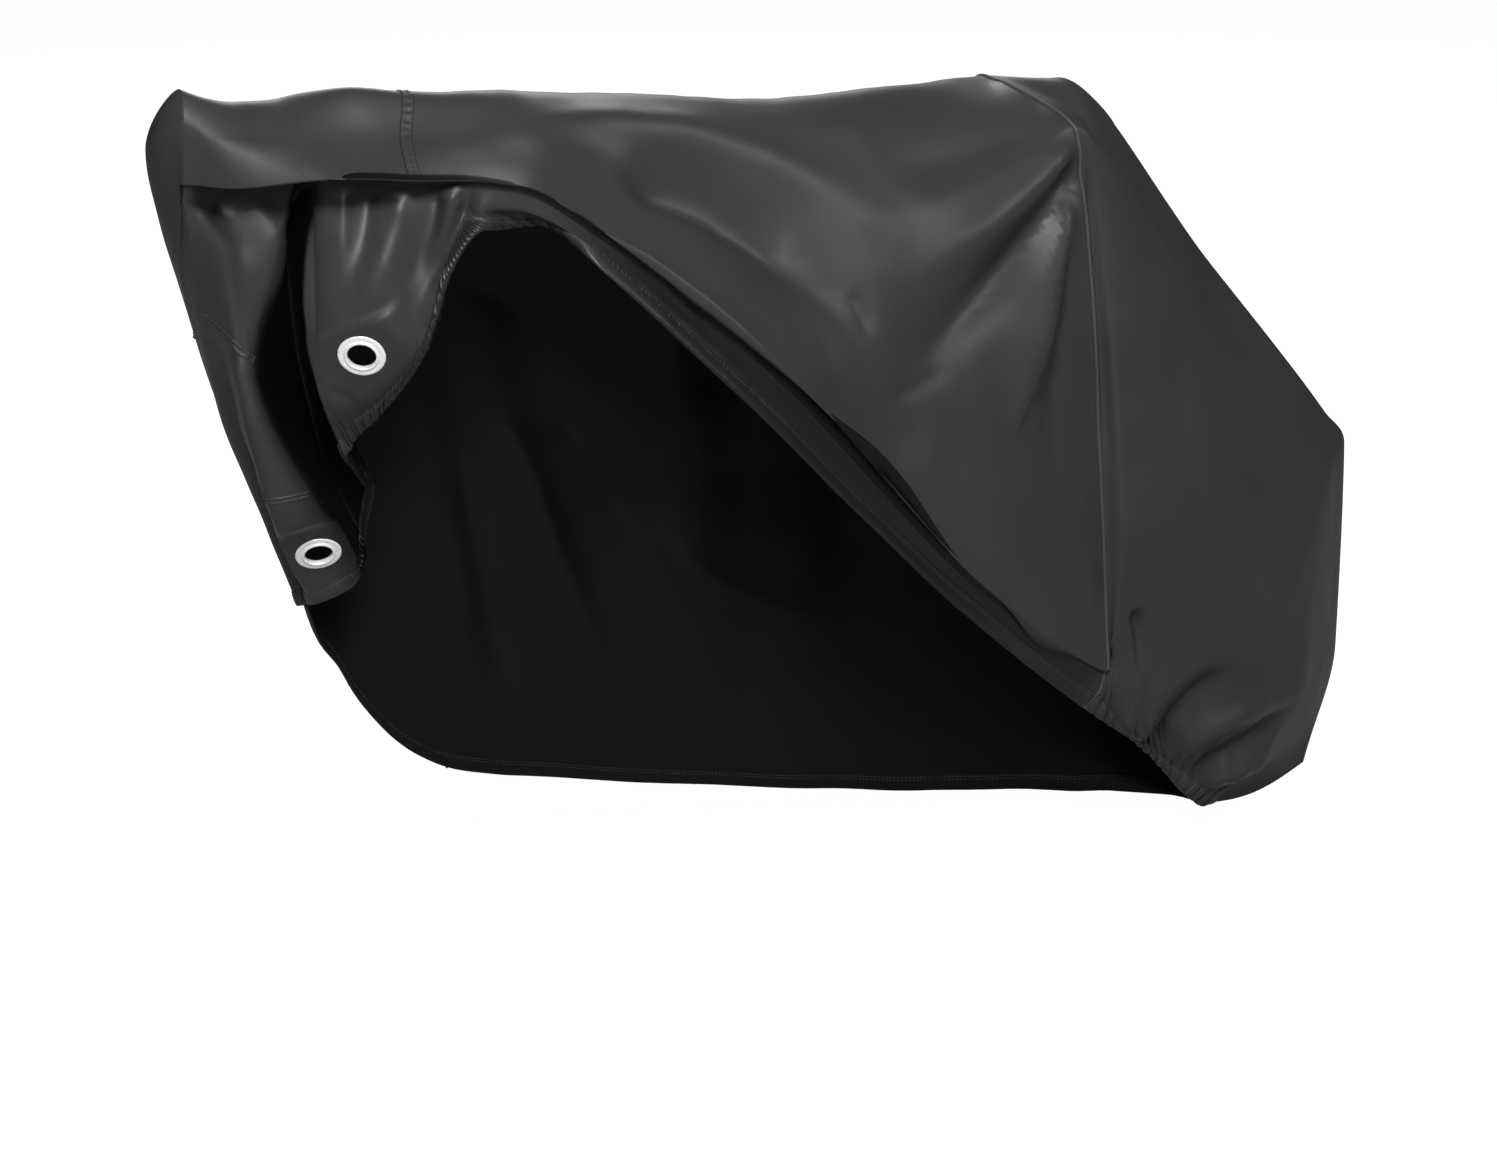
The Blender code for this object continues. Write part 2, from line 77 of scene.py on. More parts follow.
# ---- sections
Top = namedtuple("Top", "section spine shoulder lip tuck")
TOPS = [
    Top("nose crease", (-.58, .165, 1.095), (-.59, .14, 1.065), (-.595, .135, 1.0), .006),
    Top("nose face", (-.555, .15, 1.085), (-.567, .112, 1.05), (-.562, .09, 1.001), .026),
    Top("fold mouth", (-.525, .14, 1.08), (-.522, .086, 1.047), (-.503, .036, 1.012), .03),
    Top("fold in", (-.505, .132, 1.08), (-.51, .077, 1.046), (-.497, .03, 1.013), .055),
    Top("fold back", (-.49, .127, 1.08), (-.5, .07, 1.045), (-.491, .024, 1.014), .055),
    Top("flap lip", (-.46, .115, 1.085), (-.476, .06, 1.045), (-.482, .015, 1.015), .03),
    Top("flap face", (-.42, .09, 1.09), (-.44, .05, 1.045), (-.455, -.005, 1.015), .03),
    Top("front seam", (-.365, .065, 1.085), (-.39, .02, 1.045), (-.415, -.04, 1.015), .03),
    Top("flap end", (-.31, .05, 1.08), (-.335, 0, 1.04), (-.365, -.07, 1.015), .012),
    Top("over bar", (-.245, .04, 1.075), (-.28, -.02, 1.04), (-.325, -.1, 1.01), .01),
    Top("bar", (-.135, .03, 1.06), (-.185, -.05, 1.01), (-.225, -.13, .945), .014),
    Top("span", (.105, .03, 1.025), (.035, -.09, .91), (-.03, -.2, .77), .02),
    Top("before saddle", (.285, .045, 1.015), (.235, -.08, .915), (.25, -.18, .48), .014),
    Top("rear seam", (.425, .07, 1.005), (.445, -.07, .97), (.49, -.115, .31), .006),
    Top("saddle back", (.48, 0, 1.01), (.485, -.075, .94), (.5, -.135, .43), 0),
    Top("tail slope", (.71, 0, .765), (.66, -.06, .73), (.605, -.14, .485), 0),
    Top("tail edge", (.92, 0, .535), (.855, -.045, .52), (.73, -.12, .37), 0),
    Top("tail corner", (.955, 0, .49), (.9, -.045, .475), (.79, -.11, .33), 0),
    Top("tail back", (.96, 0, .225), (.91, -.04, .215), (.84, -.075, .19), 0),
    Top("tail foot", (.92, 0, .065), (.88, 0, .055), (.84, 0, .055), 0),
]
# The near side under the lip, in the order of TOPS: seam, knee and hem.
LOWS = [
    ((-.56, .155, .845), (-.495, .185, .68), (-.41, .215, .475)),
    ((-.555, .103, .825), (-.522, .104, .645), (-.421, .183, .485)),
    ((-.538, .096, .808), (-.48, .085, .65), (-.385, .15, .515)),
    ((-.455, .145, .775), (-.42, .15, .655), (-.365, .165, .55)),
    ((-.445, .108, .79), (-.418, .112, .705), (-.38, .115, .63)),
    ((-.495, .035, .845), (-.485, .04, .775), (-.445, .05, .71)),
    ((-.465, -.01, .86), (-.45, 0, .8), (-.43, .02, .745)),
    ((-.4, -.04, .91), (-.4, -.045, .87), (-.41, -.045, .83)),
    ((-.37, -.055, .985), (-.365, -.06, .972), (-.355, -.07, .958)),
    ((-.33, -.085, .985), (-.305, -.077, .972), (-.275, -.066, .955)),
    ((-.232, -.117, .932), (-.236, -.123, .924), (-.242, -.132, .915)),
    ((-.036, -.178, .742), (-.046, -.18, .732), (-.056, -.19, .722)),
    ((.245, -.162, .47), (.238, -.16, .46), (.23, -.165, .45)),
    ((.485, -.108, .285), (.478, -.104, .275), (.47, -.1, .263)),
    ((.54, -.1, .25), (.567, -.085, .21), (.588, -.07, .178)),
    ((.62, -.11, .245), (.645, -.065, .155), (.65, -.05, .12)),
    ((.69, -.09, .185), (.693, -.052, .115), (.68, -.04, .092)),
    ((.72, -.085, .165), (.71, -.045, .095), (.695, -.035, .08)),
    ((.77, -.06, .1), (.74, -.035, .07), (.73, -.02, .055)),
    ((.79, 0, .055), (.77, 0, .05), (.755, 0, .045)),
]
# The far side, in the order of TOPS: shoulder, seam and hem.
FARS = [
    ((-.597, .21, 1.03), (-.53, .24, .8), (-.4, .235, .465)),
    ((-.565, .215, 1.025), (-.48, .25, .785), (-.375, .25, .41)),
    ((-.53, .21, 1.02), (-.455, .255, .775), (-.345, .26, .37)),
    ((-.505, .202, 1.016), (-.432, .259, .764), (-.325, .263, .335)),
    ((-.49, .198, 1.014), (-.418, .26, .76), (-.308, .266, .31)),
    ((-.46, .19, 1.01), (-.385, .26, .755), (-.275, .27, .27)),
    ((-.42, .17, 1.005), (-.35, .26, .745), (-.235, .275, .235)),
    ((-.365, .15, 1.0), (-.295, .26, .735), (-.185, .28, .205)),
    ((-.31, .14, .995), (-.245, .255, .73), (-.115, .285, .18)),
    ((-.245, .13, .985), (-.185, .25, .72), (-.025, .29, .155)),
    ((-.13, .12, .97), (-.08, .24, .71), (.105, .29, .12)),
    ((.115, .11, .94), (.17, .22, .68), (.35, .27, .065)),
    ((.29, .11, .95), (.335, .2, .67), (.485, .235, .045)),
    ((.42, .115, .94), (.445, .185, .655), (.58, .19, .04)),
    ((.485, .08, .93), (.59, .17, .585), (.64, .145, .04)),
    ((.68, .06, .725), (.765, .14, .38), (.685, .1, .045)),
    ((.88, .048, .515), (.835, .12, .3), (.71, .075, .045)),
    ((.925, .045, .46), (.86, .11, .25), (.72, .065, .045)),
    ((.93, .035, .2), (.87, .07, .1), (.745, .035, .045)),
    ((.87, 0, .055), (.82, 0, .055), (.755, 0, .045)),
]
SECTIONS = [row.section for row in TOPS]
GROOVE_PART = 0.12        # the groove lies this far down from the lip to the seam
TUCK_FALL = 0.33          # a tuck falls this much for each metre that it turns in
LIP_DEPTH = 0.011         # the cloth turns back this far under a full lip
LIP_RISE = 0.004
FULL_TUCK = 0.014         # a tuck this deep has a full lip
KEEL_SAG = 0.014
FAR_FULLNESS = 0.015
BOW_FULLNESS = 0.012
BOW_FADE = 16

# Steps between neighbouring sections, and between the points of one section.
ALONG = [20, 10, 16, 14, 26, 28, 28, 30, 24, 22, 38, 32, 30, 20, 34, 30, 10, 24, 22]
DOWN = {"knee": 20, "seam": 16, "groove": 16, "under": 7, "lip": 7, "shoulder": 54, "spine": 14,
        "far shoulder": 14, "far seam": 52, "fullness": 38, "far hem": 30}
ROWS = ["hem"] + list(DOWN)
LAST = sum(DOWN.values())
NEAR = LAST // 2          # the spine: as many steps on the near side as on the far side
BOW = 14
BOW_WIDTH = 0.08

PANELS = {
    "front_cloth": "front_panel",
    "nose_cloth": "nose_panel",
    "middle_cloth": "middle_panel",
    "rear_cloth": "rear_panel",
    "near_strip_cloth": "near_eyelet_strip",
    "far_strip_cloth": "far_eyelet_strip",
}

Eyelet = namedtuple("Eyelet", "node strip centre outward")
EYELETS = [
    Eyelet("near_eyelet", "near_strip_cloth", (-.46, 0, .824), (-.58, -.73, -.36)),
    Eyelet("far_eyelet", "far_strip_cloth", (-.442, .134, .562), (-.31, -.78, -.54)),
]

# ---- the photograph's view
FRAME_SIZE = (1497, 1151)
FOCAL_PIXELS = 4500.0
CAMERA_PLACE = np.array((-2.776, -3.977, 2.152))
CAMERA_YAW, CAMERA_PITCH, CAMERA_ROLL = 0.617, 0.33, 0.011


def camera_axes():
    """Right, up and forward directions of the photograph's camera."""
    ahead = np.array((math.sin(CAMERA_YAW) * math.cos(CAMERA_PITCH),
                      math.cos(CAMERA_YAW) * math.cos(CAMERA_PITCH), -math.sin(CAMERA_PITCH)))
    level = np.cross(ahead, (0.0, 0.0, 1.0))
    level /= np.linalg.norm(level)
    upright = np.cross(level, ahead)
    right = level * math.cos(CAMERA_ROLL) + upright * math.sin(CAMERA_ROLL)
    up = upright * math.cos(CAMERA_ROLL) - level * math.sin(CAMERA_ROLL)
    return right, up, ahead


def in_picture(points):
    """Where points of the tables' frame lie in the photograph, in its pixels."""
    right, up, ahead = camera_axes()
    offset = points - CAMERA_PLACE
    depth = offset @ ahead
    across = FRAME_SIZE[0] / 2 + FOCAL_PIXELS * (offset @ right) / depth
    down = FRAME_SIZE[1] / 2 - FOCAL_PIXELS * (offset @ up) / depth
    return np.stack([across, down], axis=1)


# ---- folds
# The wide folds of the far side are the solids' own.  Such a fold runs straight in side
# view from (x0, z0) to (x1, z1), in metres; depth below zero is a trough.
WideFold = namedtuple("WideFold", "x0 z0 x1 z1 width fan depth")
WIDE_FOLDS = [
    WideFold(-.52, 1, -.3, .38, .035, 1.5, .012),
    WideFold(-.36, 1, -.12, .3, .035, 1.6, -.016),
    WideFold(-.18, .96, .08, .22, .035, 1.6, .014),
    WideFold(.02, .96, .2, .22, .04, 1.5, -.016),
    WideFold(.3, .9, .4, .15, .035, 1.6, .014),
    WideFold(.42, .9, .62, .25, .03, 1.8, -.014),
    WideFold(.5, .88, .8, .33, .025, 1.8, .01),
]
FOLD_RISE = 0.20
FOLD_FADE = 0.33
FACING = 0.10
TAIL = 0.55
TAIL_ROOM = 0.09

# A fine fold is a curve through three places of the picture, in its pixels.  Its width is
# in pixels, about a millimetre each, and widens by `fan` towards its end; its depth is in
# millimetres.  With `lean` one flank is steeper than the other.
Fold = namedtuple("Fold", "x0 y0 xm ym x1 y1 width fan depth lean")
FOLDS = {}
FOLDS["near"] = [
    # from the saddle corner down over the near side
    (1076, 138, 1008, 208, 885, 305, 15, 2.6, 23, .3),
    (1072, 150, 1032, 244, 868, 418, 11, 3, -26, .3),
    (1071, 166, 1047, 300, 1000, 465, 12, 2.6, 23, .3),
    (1070, 215, 1062, 350, 1050, 540, 10, 2.2, -8, .5),
    (1060, 126, 975, 152, 850, 186, 16, 2.6, -9, .2),
    (600, 168, 746, 224, 872, 348, 26, 1.5, -32, .2),
    (852, 290, 864, 312, 872, 345, 5, 1.3, -3, .6),
    (892, 400, 920, 384, 958, 366, 6, 1.6, -5, .6),
    (1006, 436, 1014, 404, 1022, 360, 6, 1.6, 5, .6),
    # along the top and over the bar
    (500, 122, 720, 146, 900, 236, 24, 1.6, 18, .2),
    (600, 236, 690, 290, 790, 376, 16, 1.4, 7, .2),
    (620, 128, 760, 122, 930, 128, 20, 1.6, 5, .2),
    (994, 80, 1012, 92, 1044, 112, 5, 1.5, 5, .5),
    (900, 440, 960, 500, 1030, 590, 20, 1.5, 6, .2),
]
FOLDS["tail"] = [
    (1092, 150, 1092, 300, 1108, 480, 14, 1.9, -11.2, .4),
    (1094, 585, 1106, 636, 1118, 690, 6, 1.8, -12.6, .5),
    (1134, 606, 1140, 640, 1128, 690, 7, 1.6, -12.6, .5),
    (1118, 740, 1128, 690, 1140, 610, 9, 2, 14, .4),
    (1130, 744, 1148, 694, 1196, 640, 10, 2.8, 19.6, .4),
    (1150, 754, 1188, 704, 1250, 660, 10, 2.6, -19.6, .4),
    (1164, 764, 1214, 722, 1296, 694, 9, 2.2, 18.2, .4),
    (1180, 776, 1244, 742, 1316, 690, 8, 1.8, -22.4, .5),
    (1194, 784, 1250, 764, 1310, 726, 8, 1.8, 16.8, .4),
    (1204, 792, 1250, 778, 1296, 752, 7, 1.8, -15.4, .4),
    (1214, 800, 1252, 790, 1284, 774, 6, 1.6, 11.2, .4),
]
FOLDS["nose"] = [
    (190, 196, 216, 226, 262, 262, 8, 2.6, -7, .5),
    (210, 200, 240, 246, 258, 330, 14, 2, 9, .3),
    (250, 194, 268, 214, 296, 236, 8, 2, -7, .4),
    (300, 192, 286, 250, 256, 330, 12, 1.6, 8, .4),
    (205, 330, 214, 372, 246, 450, 10, 1.8, -7, .3),
    (236, 352, 250, 400, 268, 470, 10, 1.8, 6, .4),
]
FOLDS["flap"] = [
    (344, 182, 345, 226, 340, 285, 13.3, 1.6, 7.4, .3),
    (366, 182, 366, 232, 350, 300, 14.9, 1.8, -7.4, .3),
    (404, 182, 392, 246, 358, 322, 20, 1.9, 11.9, .3),
    (430, 180, 432, 234, 392, 312, 11.7, 2.3, -13.8, .5),
    (456, 180, 440, 232, 398, 300, 14.9, 1.9, 11, .3),
    (472, 182, 452, 244, 404, 318, 11.7, 2, -11, .4),
    (492, 188, 470, 250, 412, 334, 14.9, 2, 10.1, .3),
    (328, 388, 342, 398, 364, 402, 8.7, 1.4, -6.9, .3),
    (346, 326, 358, 334, 374, 322, 7.2, 1.4, 4.6, .5),
]
FOLDS["far"] = [
    # the inside of the far side
    (500, 400, 556, 540, 622, 730, 20, 1.9, -18, .4),
    (452, 430, 490, 590, 520, 740, 22, 1.6, 15, .4),
    (500, 500, 650, 420, 830, 384, 26, 1.9, -6, .4),
    (520, 560, 680, 486, 860, 450, 26, 1.9, 6, .4),
    (560, 640, 700, 560, 880, 520, 28, 1.9, -6, .4),
    (560, 400, 620, 500, 720, 680, 22, 1.8, 16, .4),
    (640, 520, 740, 590, 900, 640, 24, 1.6, -13, .4),
    (440, 262, 540, 320, 680, 356, 26, 1.8, 10, .4),
]
CURVE_STEPS = 16
CURVE_RISE = 0.25
CURVE_FALL = 0.60
CREST = 0.35              # roundness of a fold's crest and the slope of its flanks
FLANK = 1.7

# Elastic draws the near hem in.  Gathers run up from the hem between two sections.
Gather = namedtuple("Gather", "first last period depth reach")
GATHERS = [
    Gather("fold back", "flap end", .013, .0013, .04),
    Gather("flap end", "bar", .016, .0008, .03),
    Gather("rear seam", "tail foot", .021, .0036, .09),
]
GATHER_DRIFT = 3.0
GATHER_VARIES = 0.7

# Soft unevenness of the whole cloth: depth, size, how much taller than wide, and seed.
SWELLS = [(.003, .11, 1.6, 3.1), (.0009, .035, 1.8, 7.7)]

# A patch of the cloth: the sections where it rises and falls, then the rows.
ALWAYS, NEVER = (-9, -8), (98, 99)
REACHES = {
    "near": ((7.4, 8.2), (12.9, 13.1), (4.8, 5.15), (6.5, 7.2)),
    "tail": ((12.98, 13.25), NEVER, (.1, .7), (6, 7)),
    "nose": ((-.5, .2), (2.2, 2.8), ALWAYS, (4.2, 4.7)),
    "flap": ((4.4, 4.8), (8.2, 8.8), ALWAYS, (4.2, 4.9)),
    "far": (ALWAYS, NEVER, (7.9, 8.4), NEVER),
}

# The tail's cloth is drawn tight where no lip is folded.
EASED = ((13.15, 13.9), NEVER, (1.5, 3), (5.4, 5.9))
EASE_ROUNDS = 260
EASE_PULL = 0.8

# Cloth darkened with painted shade: how dark it is, and its patch.
SHADED = [
    (.95, (1.5, 2.2), (4.3, 4.8), ALWAYS, (1.9, 2.35)),     # low in the mouth of the fold
    (.7, (9.2, 10.5), (12.8, 13.1), ALWAYS, (2.7, 3)),      # the rolled band
    (.45, (4.8, 5.2), (8.8, 9.6), ALWAYS, (.35, .9)),       # the ruched hem
]
# Painted shade under a lip: its patch, and the tuck depths over which it comes in.
UNDER_LIP = (ALWAYS, NEVER, (2.78, 2.98), (4.6, 4.98))
SHADED_TUCK = (.004, .016)
# Painted shade in the valley of the front fold: its sections at the seam and, further on, at the groove.
VALLEY_MOUTH = (1.85, 2.5)
VALLEY_BACK = (4.4, 4.8)
VALLEY_EDGE = 0.4
VALLEY_TOP = (4.3, 4.9)


# ---- reading tables
def pchip(knots, values, at):
    """Smooth curve through the values with no overshoot, read at the given places."""
    knots, values, at = (np.asarray(data, float) for data in (knots, values, at))
    step = np.diff(knots).reshape((-1,) + (1,) * (values.ndim - 1))
    slope = np.diff(values, axis=0) / step
    before, after = slope[:-1], slope[1:]
    total = before + after
    same_way = (before * after > 0) & (np.abs(total) > 1e-12)
    safe_total = np.where(same_way, total, 1.0)
    middle = np.where(same_way, 2 * before * after / safe_total, 0.0)
    tangent = np.concatenate([slope[:1], middle, slope[-1:]])
    cell = np.clip(np.searchsorted(knots, at, side="right") - 1, 0, len(knots) - 2)
    width = step[cell]
    local = ((at - knots[cell]).reshape(width.shape)) / width
    return (values[cell] * (1 + 2 * local) * (1 - local) ** 2
            + tangent[cell] * width * local * (1 - local) ** 2
            + values[cell + 1] * local ** 2 * (3 - 2 * local)
            + tangent[cell + 1] * width * local ** 2 * (local - 1))


def smooth(value, low, high):
    """0 below low, 1 above high, smooth between."""
    part = np.clip((np.asarray(value, float) - low) / (high - low), 0, 1)
    return part * part * (3 - 2 * part)


def patch(cover, section_rise, section_fall, row_rise, row_fall):
    """1 inside a patch of the cloth and 0 outside it, smooth between."""
    return (smooth(cover.s, *section_rise) * (1 - smooth(cover.s, *section_fall))
            * smooth(cover.t, *row_rise) * (1 - smooth(cover.t, *row_fall)))


def read_line(at, known, values):
    """Rows of values read at places between the known ones."""
    return np.stack([np.interp(at, known, column) for column in np.transpose(values)], axis=-1)


def noise_along(spots, scale, *seed):
    """Smooth noise from -1 to 1 at spots along a line."""
    return np.array([noise.noise(Vector((spot * scale, *seed))) for spot in spots])


def length_of(vectors):
    return np.linalg.norm(vectors, axis=-1)


def unit(vectors):
    return vectors / np.maximum(length_of(vectors), 1e-12)[..., None]


def section(name):
    return SECTIONS.index(name)


def row(name):
    return ROWS.index(name)


# ---- the surface
def control_net():
    rows = []
    for index, (top, low, far) in enumerate(zip(TOPS, LOWS, FARS)):
        spine, shoulder, lip = map(np.array, top[1:4])
        seam, knee, hem = map(np.array, low)
        far_shoulder, far_seam, far_hem = map(np.array, far)
        groove = lip + (seam - lip) * GROOVE_PART
        groove = groove + top.tuck * np.array((0.0, 1.0, -TUCK_FALL))
        full = min(1.0, top.tuck / FULL_TUCK)
        under = lip + full * np.array((0.0, LIP_DEPTH, LIP_RISE)) + (1 - full) * (groove - lip) / 2
        fullness = (far_seam + far_hem) / 2
        if index < len(TOPS) - 1:
            fullness = fullness + np.array((0.0, FAR_FULLNESS, 0.0))
        rows.append([hem, knee, seam, groove, under, lip, shoulder, spine,
                     far_shoulder, far_seam, fullness, far_hem])
    return np.array(rows)


def spread(steps):
    """Places of the samples when each span between knots takes its number of steps."""
    places = [0.0]
    for span, count in enumerate(steps):
        places.extend(span + (k + 1) / count for k in range(count))
    return np.array(places)


class Cover:
    """The whole cover as numbered points, with the place of each in the tables."""

    def __init__(self):
        net = control_net()
        lengths = length_of(np.diff(net, axis=0)).mean(axis=1)
        stations = np.concatenate([[0.0], np.cumsum(lengths)])
        self.section = spread(ALONG)
        self.row = spread(list(DOWN.values()))
        rows = pchip(stations, net, np.interp(self.section, range(len(stations)), stations))
        grid = np.swapaxes(pchip(range(net.shape[1]), np.swapaxes(rows, 0, 1), self.row), 0, 1)
        self.close_tail(grid)
        count = grid.shape[0]
        self.number = np.arange(count * (LAST + 1)).reshape(count, LAST + 1)
        self.number[-1, NEAR + 1:] = self.number[-1, :NEAR][::-1]
        self.points = grid.reshape(-1, 3).copy()
        self.s = np.repeat(self.section, LAST + 1)
        self.t = np.tile(self.row, count)
        self.add_bow(grid)
        self.make_faces()

    @staticmethod
    def close_tail(grid):
        """The last section is a straight keel where the near and far sides meet."""
        top, hem = grid[-1, NEAR].copy(), grid[-1, 0].copy()
        for j in range(LAST + 1):
            part = abs(j - NEAR) / NEAR
            sag = np.array((0.0, 0.0, -KEEL_SAG * math.sin(math.pi * part)))
            grid[-1, j] = top + (hem - top) * part + sag

    def add_bow(self, grid):
        """The narrow face between the nose crease and the far corner, hem to peak."""
        part = (np.arange(BOW + 1) / BOW)[None, :, None]
        near, far = grid[0, :NEAR + 1, None], grid[0, NEAR:, None][::-1]
        fade = np.minimum(1.0, np.arange(NEAR, -1, -1) / BOW_FADE)[:, None, None]
        strip = near + (far - near) * part
        strip[..., 0:1] -= BOW_FULLNESS * np.sin(math.pi * part) * fade
        start = len(self.points)
        inner = strip[:, 1:-1].reshape(-1, 3)
        self.points = np.concatenate([self.points, inner])
        self.s = np.concatenate([self.s, np.tile(-np.arange(1, BOW) / BOW, NEAR + 1)])
        self.t = np.concatenate([self.t, np.repeat(self.row[:NEAR + 1], BOW - 1)])
        self.bow = np.zeros((NEAR + 1, BOW + 1), int)
        self.bow[:, 0] = self.number[0, :NEAR + 1]
        self.bow[:, -1] = self.number[0, NEAR:][::-1]
        self.bow[:, 1:-1] = start + np.arange(len(inner)).reshape(NEAR + 1, BOW - 1)
        self.bow[-1, :] = self.number[0, NEAR]

    def make_faces(self):
        n, b = self.number, self.bow
        body = np.stack([n[:-1, :-1], n[1:, :-1], n[1:, 1:], n[:-1, 1:]], axis=-1)
        bow = np.stack([b[1:, :-1], b[1:, 1:], b[:-1, 1:], b[:-1, :-1]], axis=-1)
        quads = np.concatenate([body.reshape(-1, 4), bow.reshape(-1, 4)])
        p = self.points
        one = length_of(p[quads[:, 0]] - p[quads[:, 2]])
        two = length_of(p[quads[:, 1]] - p[quads[:, 3]])
        straight = (one <= two)[:, None]
        first = np.where(straight, quads[:, [0, 1, 2]], quads[:, [0, 1, 3]])
        second = np.where(straight, quads[:, [0, 2, 3]], quads[:, [1, 2, 3]])
        f = np.stack([first, second], axis=1).reshape(-1, 3)
        whole = (f[:, 0] != f[:, 1]) & (f[:, 1] != f[:, 2]) & (f[:, 0] != f[:, 2])
        self.faces, self.labels_of = f[whole], np.repeat(self.labels(), 2)[whole]

    def labels(self):
        """Which cut piece each cell belongs to, as an index into PANELS."""
        index = {name: k for k, name in enumerate(PANELS)}
        s = (self.section[:-1] + self.section[1:])[:, None] / 2
        t = (self.row[:-1] + self.row[1:])[None, :] / 2
        fold_back, front, rear = map(section, ("fold back", "front seam", "rear seam"))
        knee, seam, far_seam = map(row, ("knee", "seam", "far seam"))
        out = np.full((s.size, t.size), index["front_cloth"])
        for where, name in (((t < seam) | (t >= far_seam), "nose_cloth"),
                            ((t < knee) & (s < fold_back), "far_strip_cloth"),
                            ((t < seam) & (s >= fold_back), "near_strip_cloth"),
                            (s >= front, "middle_cloth"), (s >= rear, "rear_cloth")):
            out = np.where(where, index[name], out)
        t_bow = (self.row[:NEAR] + self.row[1:NEAR + 1])[:, None] / 2
        bow = np.where(t_bow < seam, index["nose_cloth"], index["front_cloth"])
        return np.concatenate([out.reshape(-1), np.repeat(bow, BOW, axis=1).reshape(-1)])

    def normals(self):
        p, total = self.points, np.zeros_like(self.points)
        corners = p[self.faces]
        flat = unit(np.cross(corners[:, 1] - corners[:, 0], corners[:, 2] - corners[:, 0]))
        for k in range(3):
            one = corners[:, (k + 1) % 3] - corners[:, k]
            two = corners[:, k - 1] - corners[:, k]
            size = length_of(one) * length_of(two)
            turn = np.arccos(np.clip((one * two).sum(axis=1) / size, -1, 1))
            np.add.at(total, self.faces[:, k], flat * turn[:, None])
        return unit(total)

    def lengths(self):
        """Distance over the cloth from the nose crease and from the near hem."""
        grid = self.points[self.number]
        along = np.zeros(self.number.shape)
        along[1:] = np.cumsum(length_of(np.diff(grid, axis=0)), axis=0)
        down = np.zeros(self.number.shape)
        down[:, 1:] = np.cumsum(length_of(np.diff(grid, axis=1)), axis=1)
        return along, down

    def at(self, places, values):
        """Values of the points read at places (section, row), between the samples."""
        i = np.interp(places[:, 0], self.section, range(len(self.section)))
        j = np.interp(places[:, 1], self.row, range(len(self.row)))
        i0 = np.minimum(i.astype(int), len(self.section) - 2)
        j0 = np.minimum(j.astype(int), len(self.row) - 2)
        a, b = (i - i0)[:, None], (j - j0)[:, None]
        n = self.number
        return (values[n[i0, j0]] * (1 - a) * (1 - b) + values[n[i0 + 1, j0]] * a * (1 - b)
                + values[n[i0, j0 + 1]] * (1 - a) * b + values[n[i0 + 1, j0 + 1]] * a * b)


# ---- shaping the cloth
def wide_push(cover, normals):
    """The solids' wide folds on the far side."""
    push = np.zeros(len(cover.points))
    for fold in WIDE_FOLDS:
        start, end = np.array((fold.x0, fold.z0)), np.array((fold.x1, fold.z1))
        run = end - start
        offset = cover.points[:, [0, 2]] - start
        part = offset @ run / (run @ run)
        away = np.abs(offset[:, 0] * run[1] - offset[:, 1] * run[0]) / np.linalg.norm(run)
        width = fold.width * (1 + (fold.fan - 1) * np.clip(part, 0, 1))
        ends = np.clip(np.minimum(part / FOLD_RISE, (1 - part) / FOLD_FADE), 0, 1)
        push += smooth(normals[:, 1], 0, 2 * FACING) * ends * fold.depth * np.exp(-(away / width) ** 2)
    return push


def beside(at, curve):
    """How far along a curve each place lies, from 0 to 1, and how far beside it."""
    best = np.full(len(at), np.inf)
    part, signed = np.zeros(len(at)), np.zeros(len(at))
    for k in range(CURVE_STEPS):
        run, offset = curve[k + 1] - curve[k], at - curve[k]
        local = np.clip(offset @ run / (run @ run), 0, 1)
        gap = offset - local[:, None] * run
        away = np.hypot(gap[:, 0], gap[:, 1])
        side = np.sign(offset[:, 0] * run[1] - offset[:, 1] * run[0])
        closer = away < best
        best = np.where(closer, away, best)
        part = np.where(closer, (k + local) / CURVE_STEPS, part)
        signed = np.where(closer, away * side, signed)
    return part, signed


def fine_push(cover, pixel):
    """Sum of the fine folds at each point, along its normal."""
    push = np.zeros(len(cover.points))
    steps = np.linspace(0, 1, CURVE_STEPS + 1)[:, None]
    for side, rows in FOLDS.items():
        reach = patch(cover, *REACHES[side])
        near = reach > 0
        for fold in (Fold(*values) for values in rows):
            start, middle, end = np.array(fold[:6], float).reshape(3, 2)
            bend = 2 * middle - (start + end) / 2
            curve = start * (1 - steps) ** 2 + 2 * bend * steps * (1 - steps) + end * steps ** 2
            part, signed = beside(pixel[near], curve)
            width = fold.width * (1 + (fold.fan - 1) * part)
            rise = smooth(part, 0, CURVE_RISE) * (1 - smooth(part, CURVE_FALL, 1))
            shape = np.exp((CREST - np.hypot(CREST, signed / width)) * FLANK)
            shape *= 1 - fold.lean * np.tanh(signed / width)
            push[near] += reach[near] * rise * fold.depth * shape
    return push / 1000


def gather_push(cover):
    """Small pleats that run up from the drawn-in near hem."""
    along, down = cover.lengths()
    hem = np.tile(along[:, :1], (1, LAST + 1))
    push = np.zeros(len(cover.points))
    for gather in GATHERS:
        first, last = section(gather.first), section(gather.last)
        rise = smooth(cover.section, first - .2, first + .3)
        inside = rise * (1 - smooth(cover.section, last - .6, last))
        uneven = noise_along(along[:, 0], 22, 5.5, 0)[:, None]
        phase = 2 * math.pi * hem / gather.period + GATHER_DRIFT * uneven
        fade = np.exp(-(down / gather.reach) ** 2) * (down < 4 * gather.reach)
        wave = gather.depth * (1 + GATHER_VARIES * uneven) * np.cos(phase) * fade * inside[:, None]
        push[cover.number[:, :NEAR]] += wave[:, :NEAR]
    push[cover.number[-1]] = 0
    return push


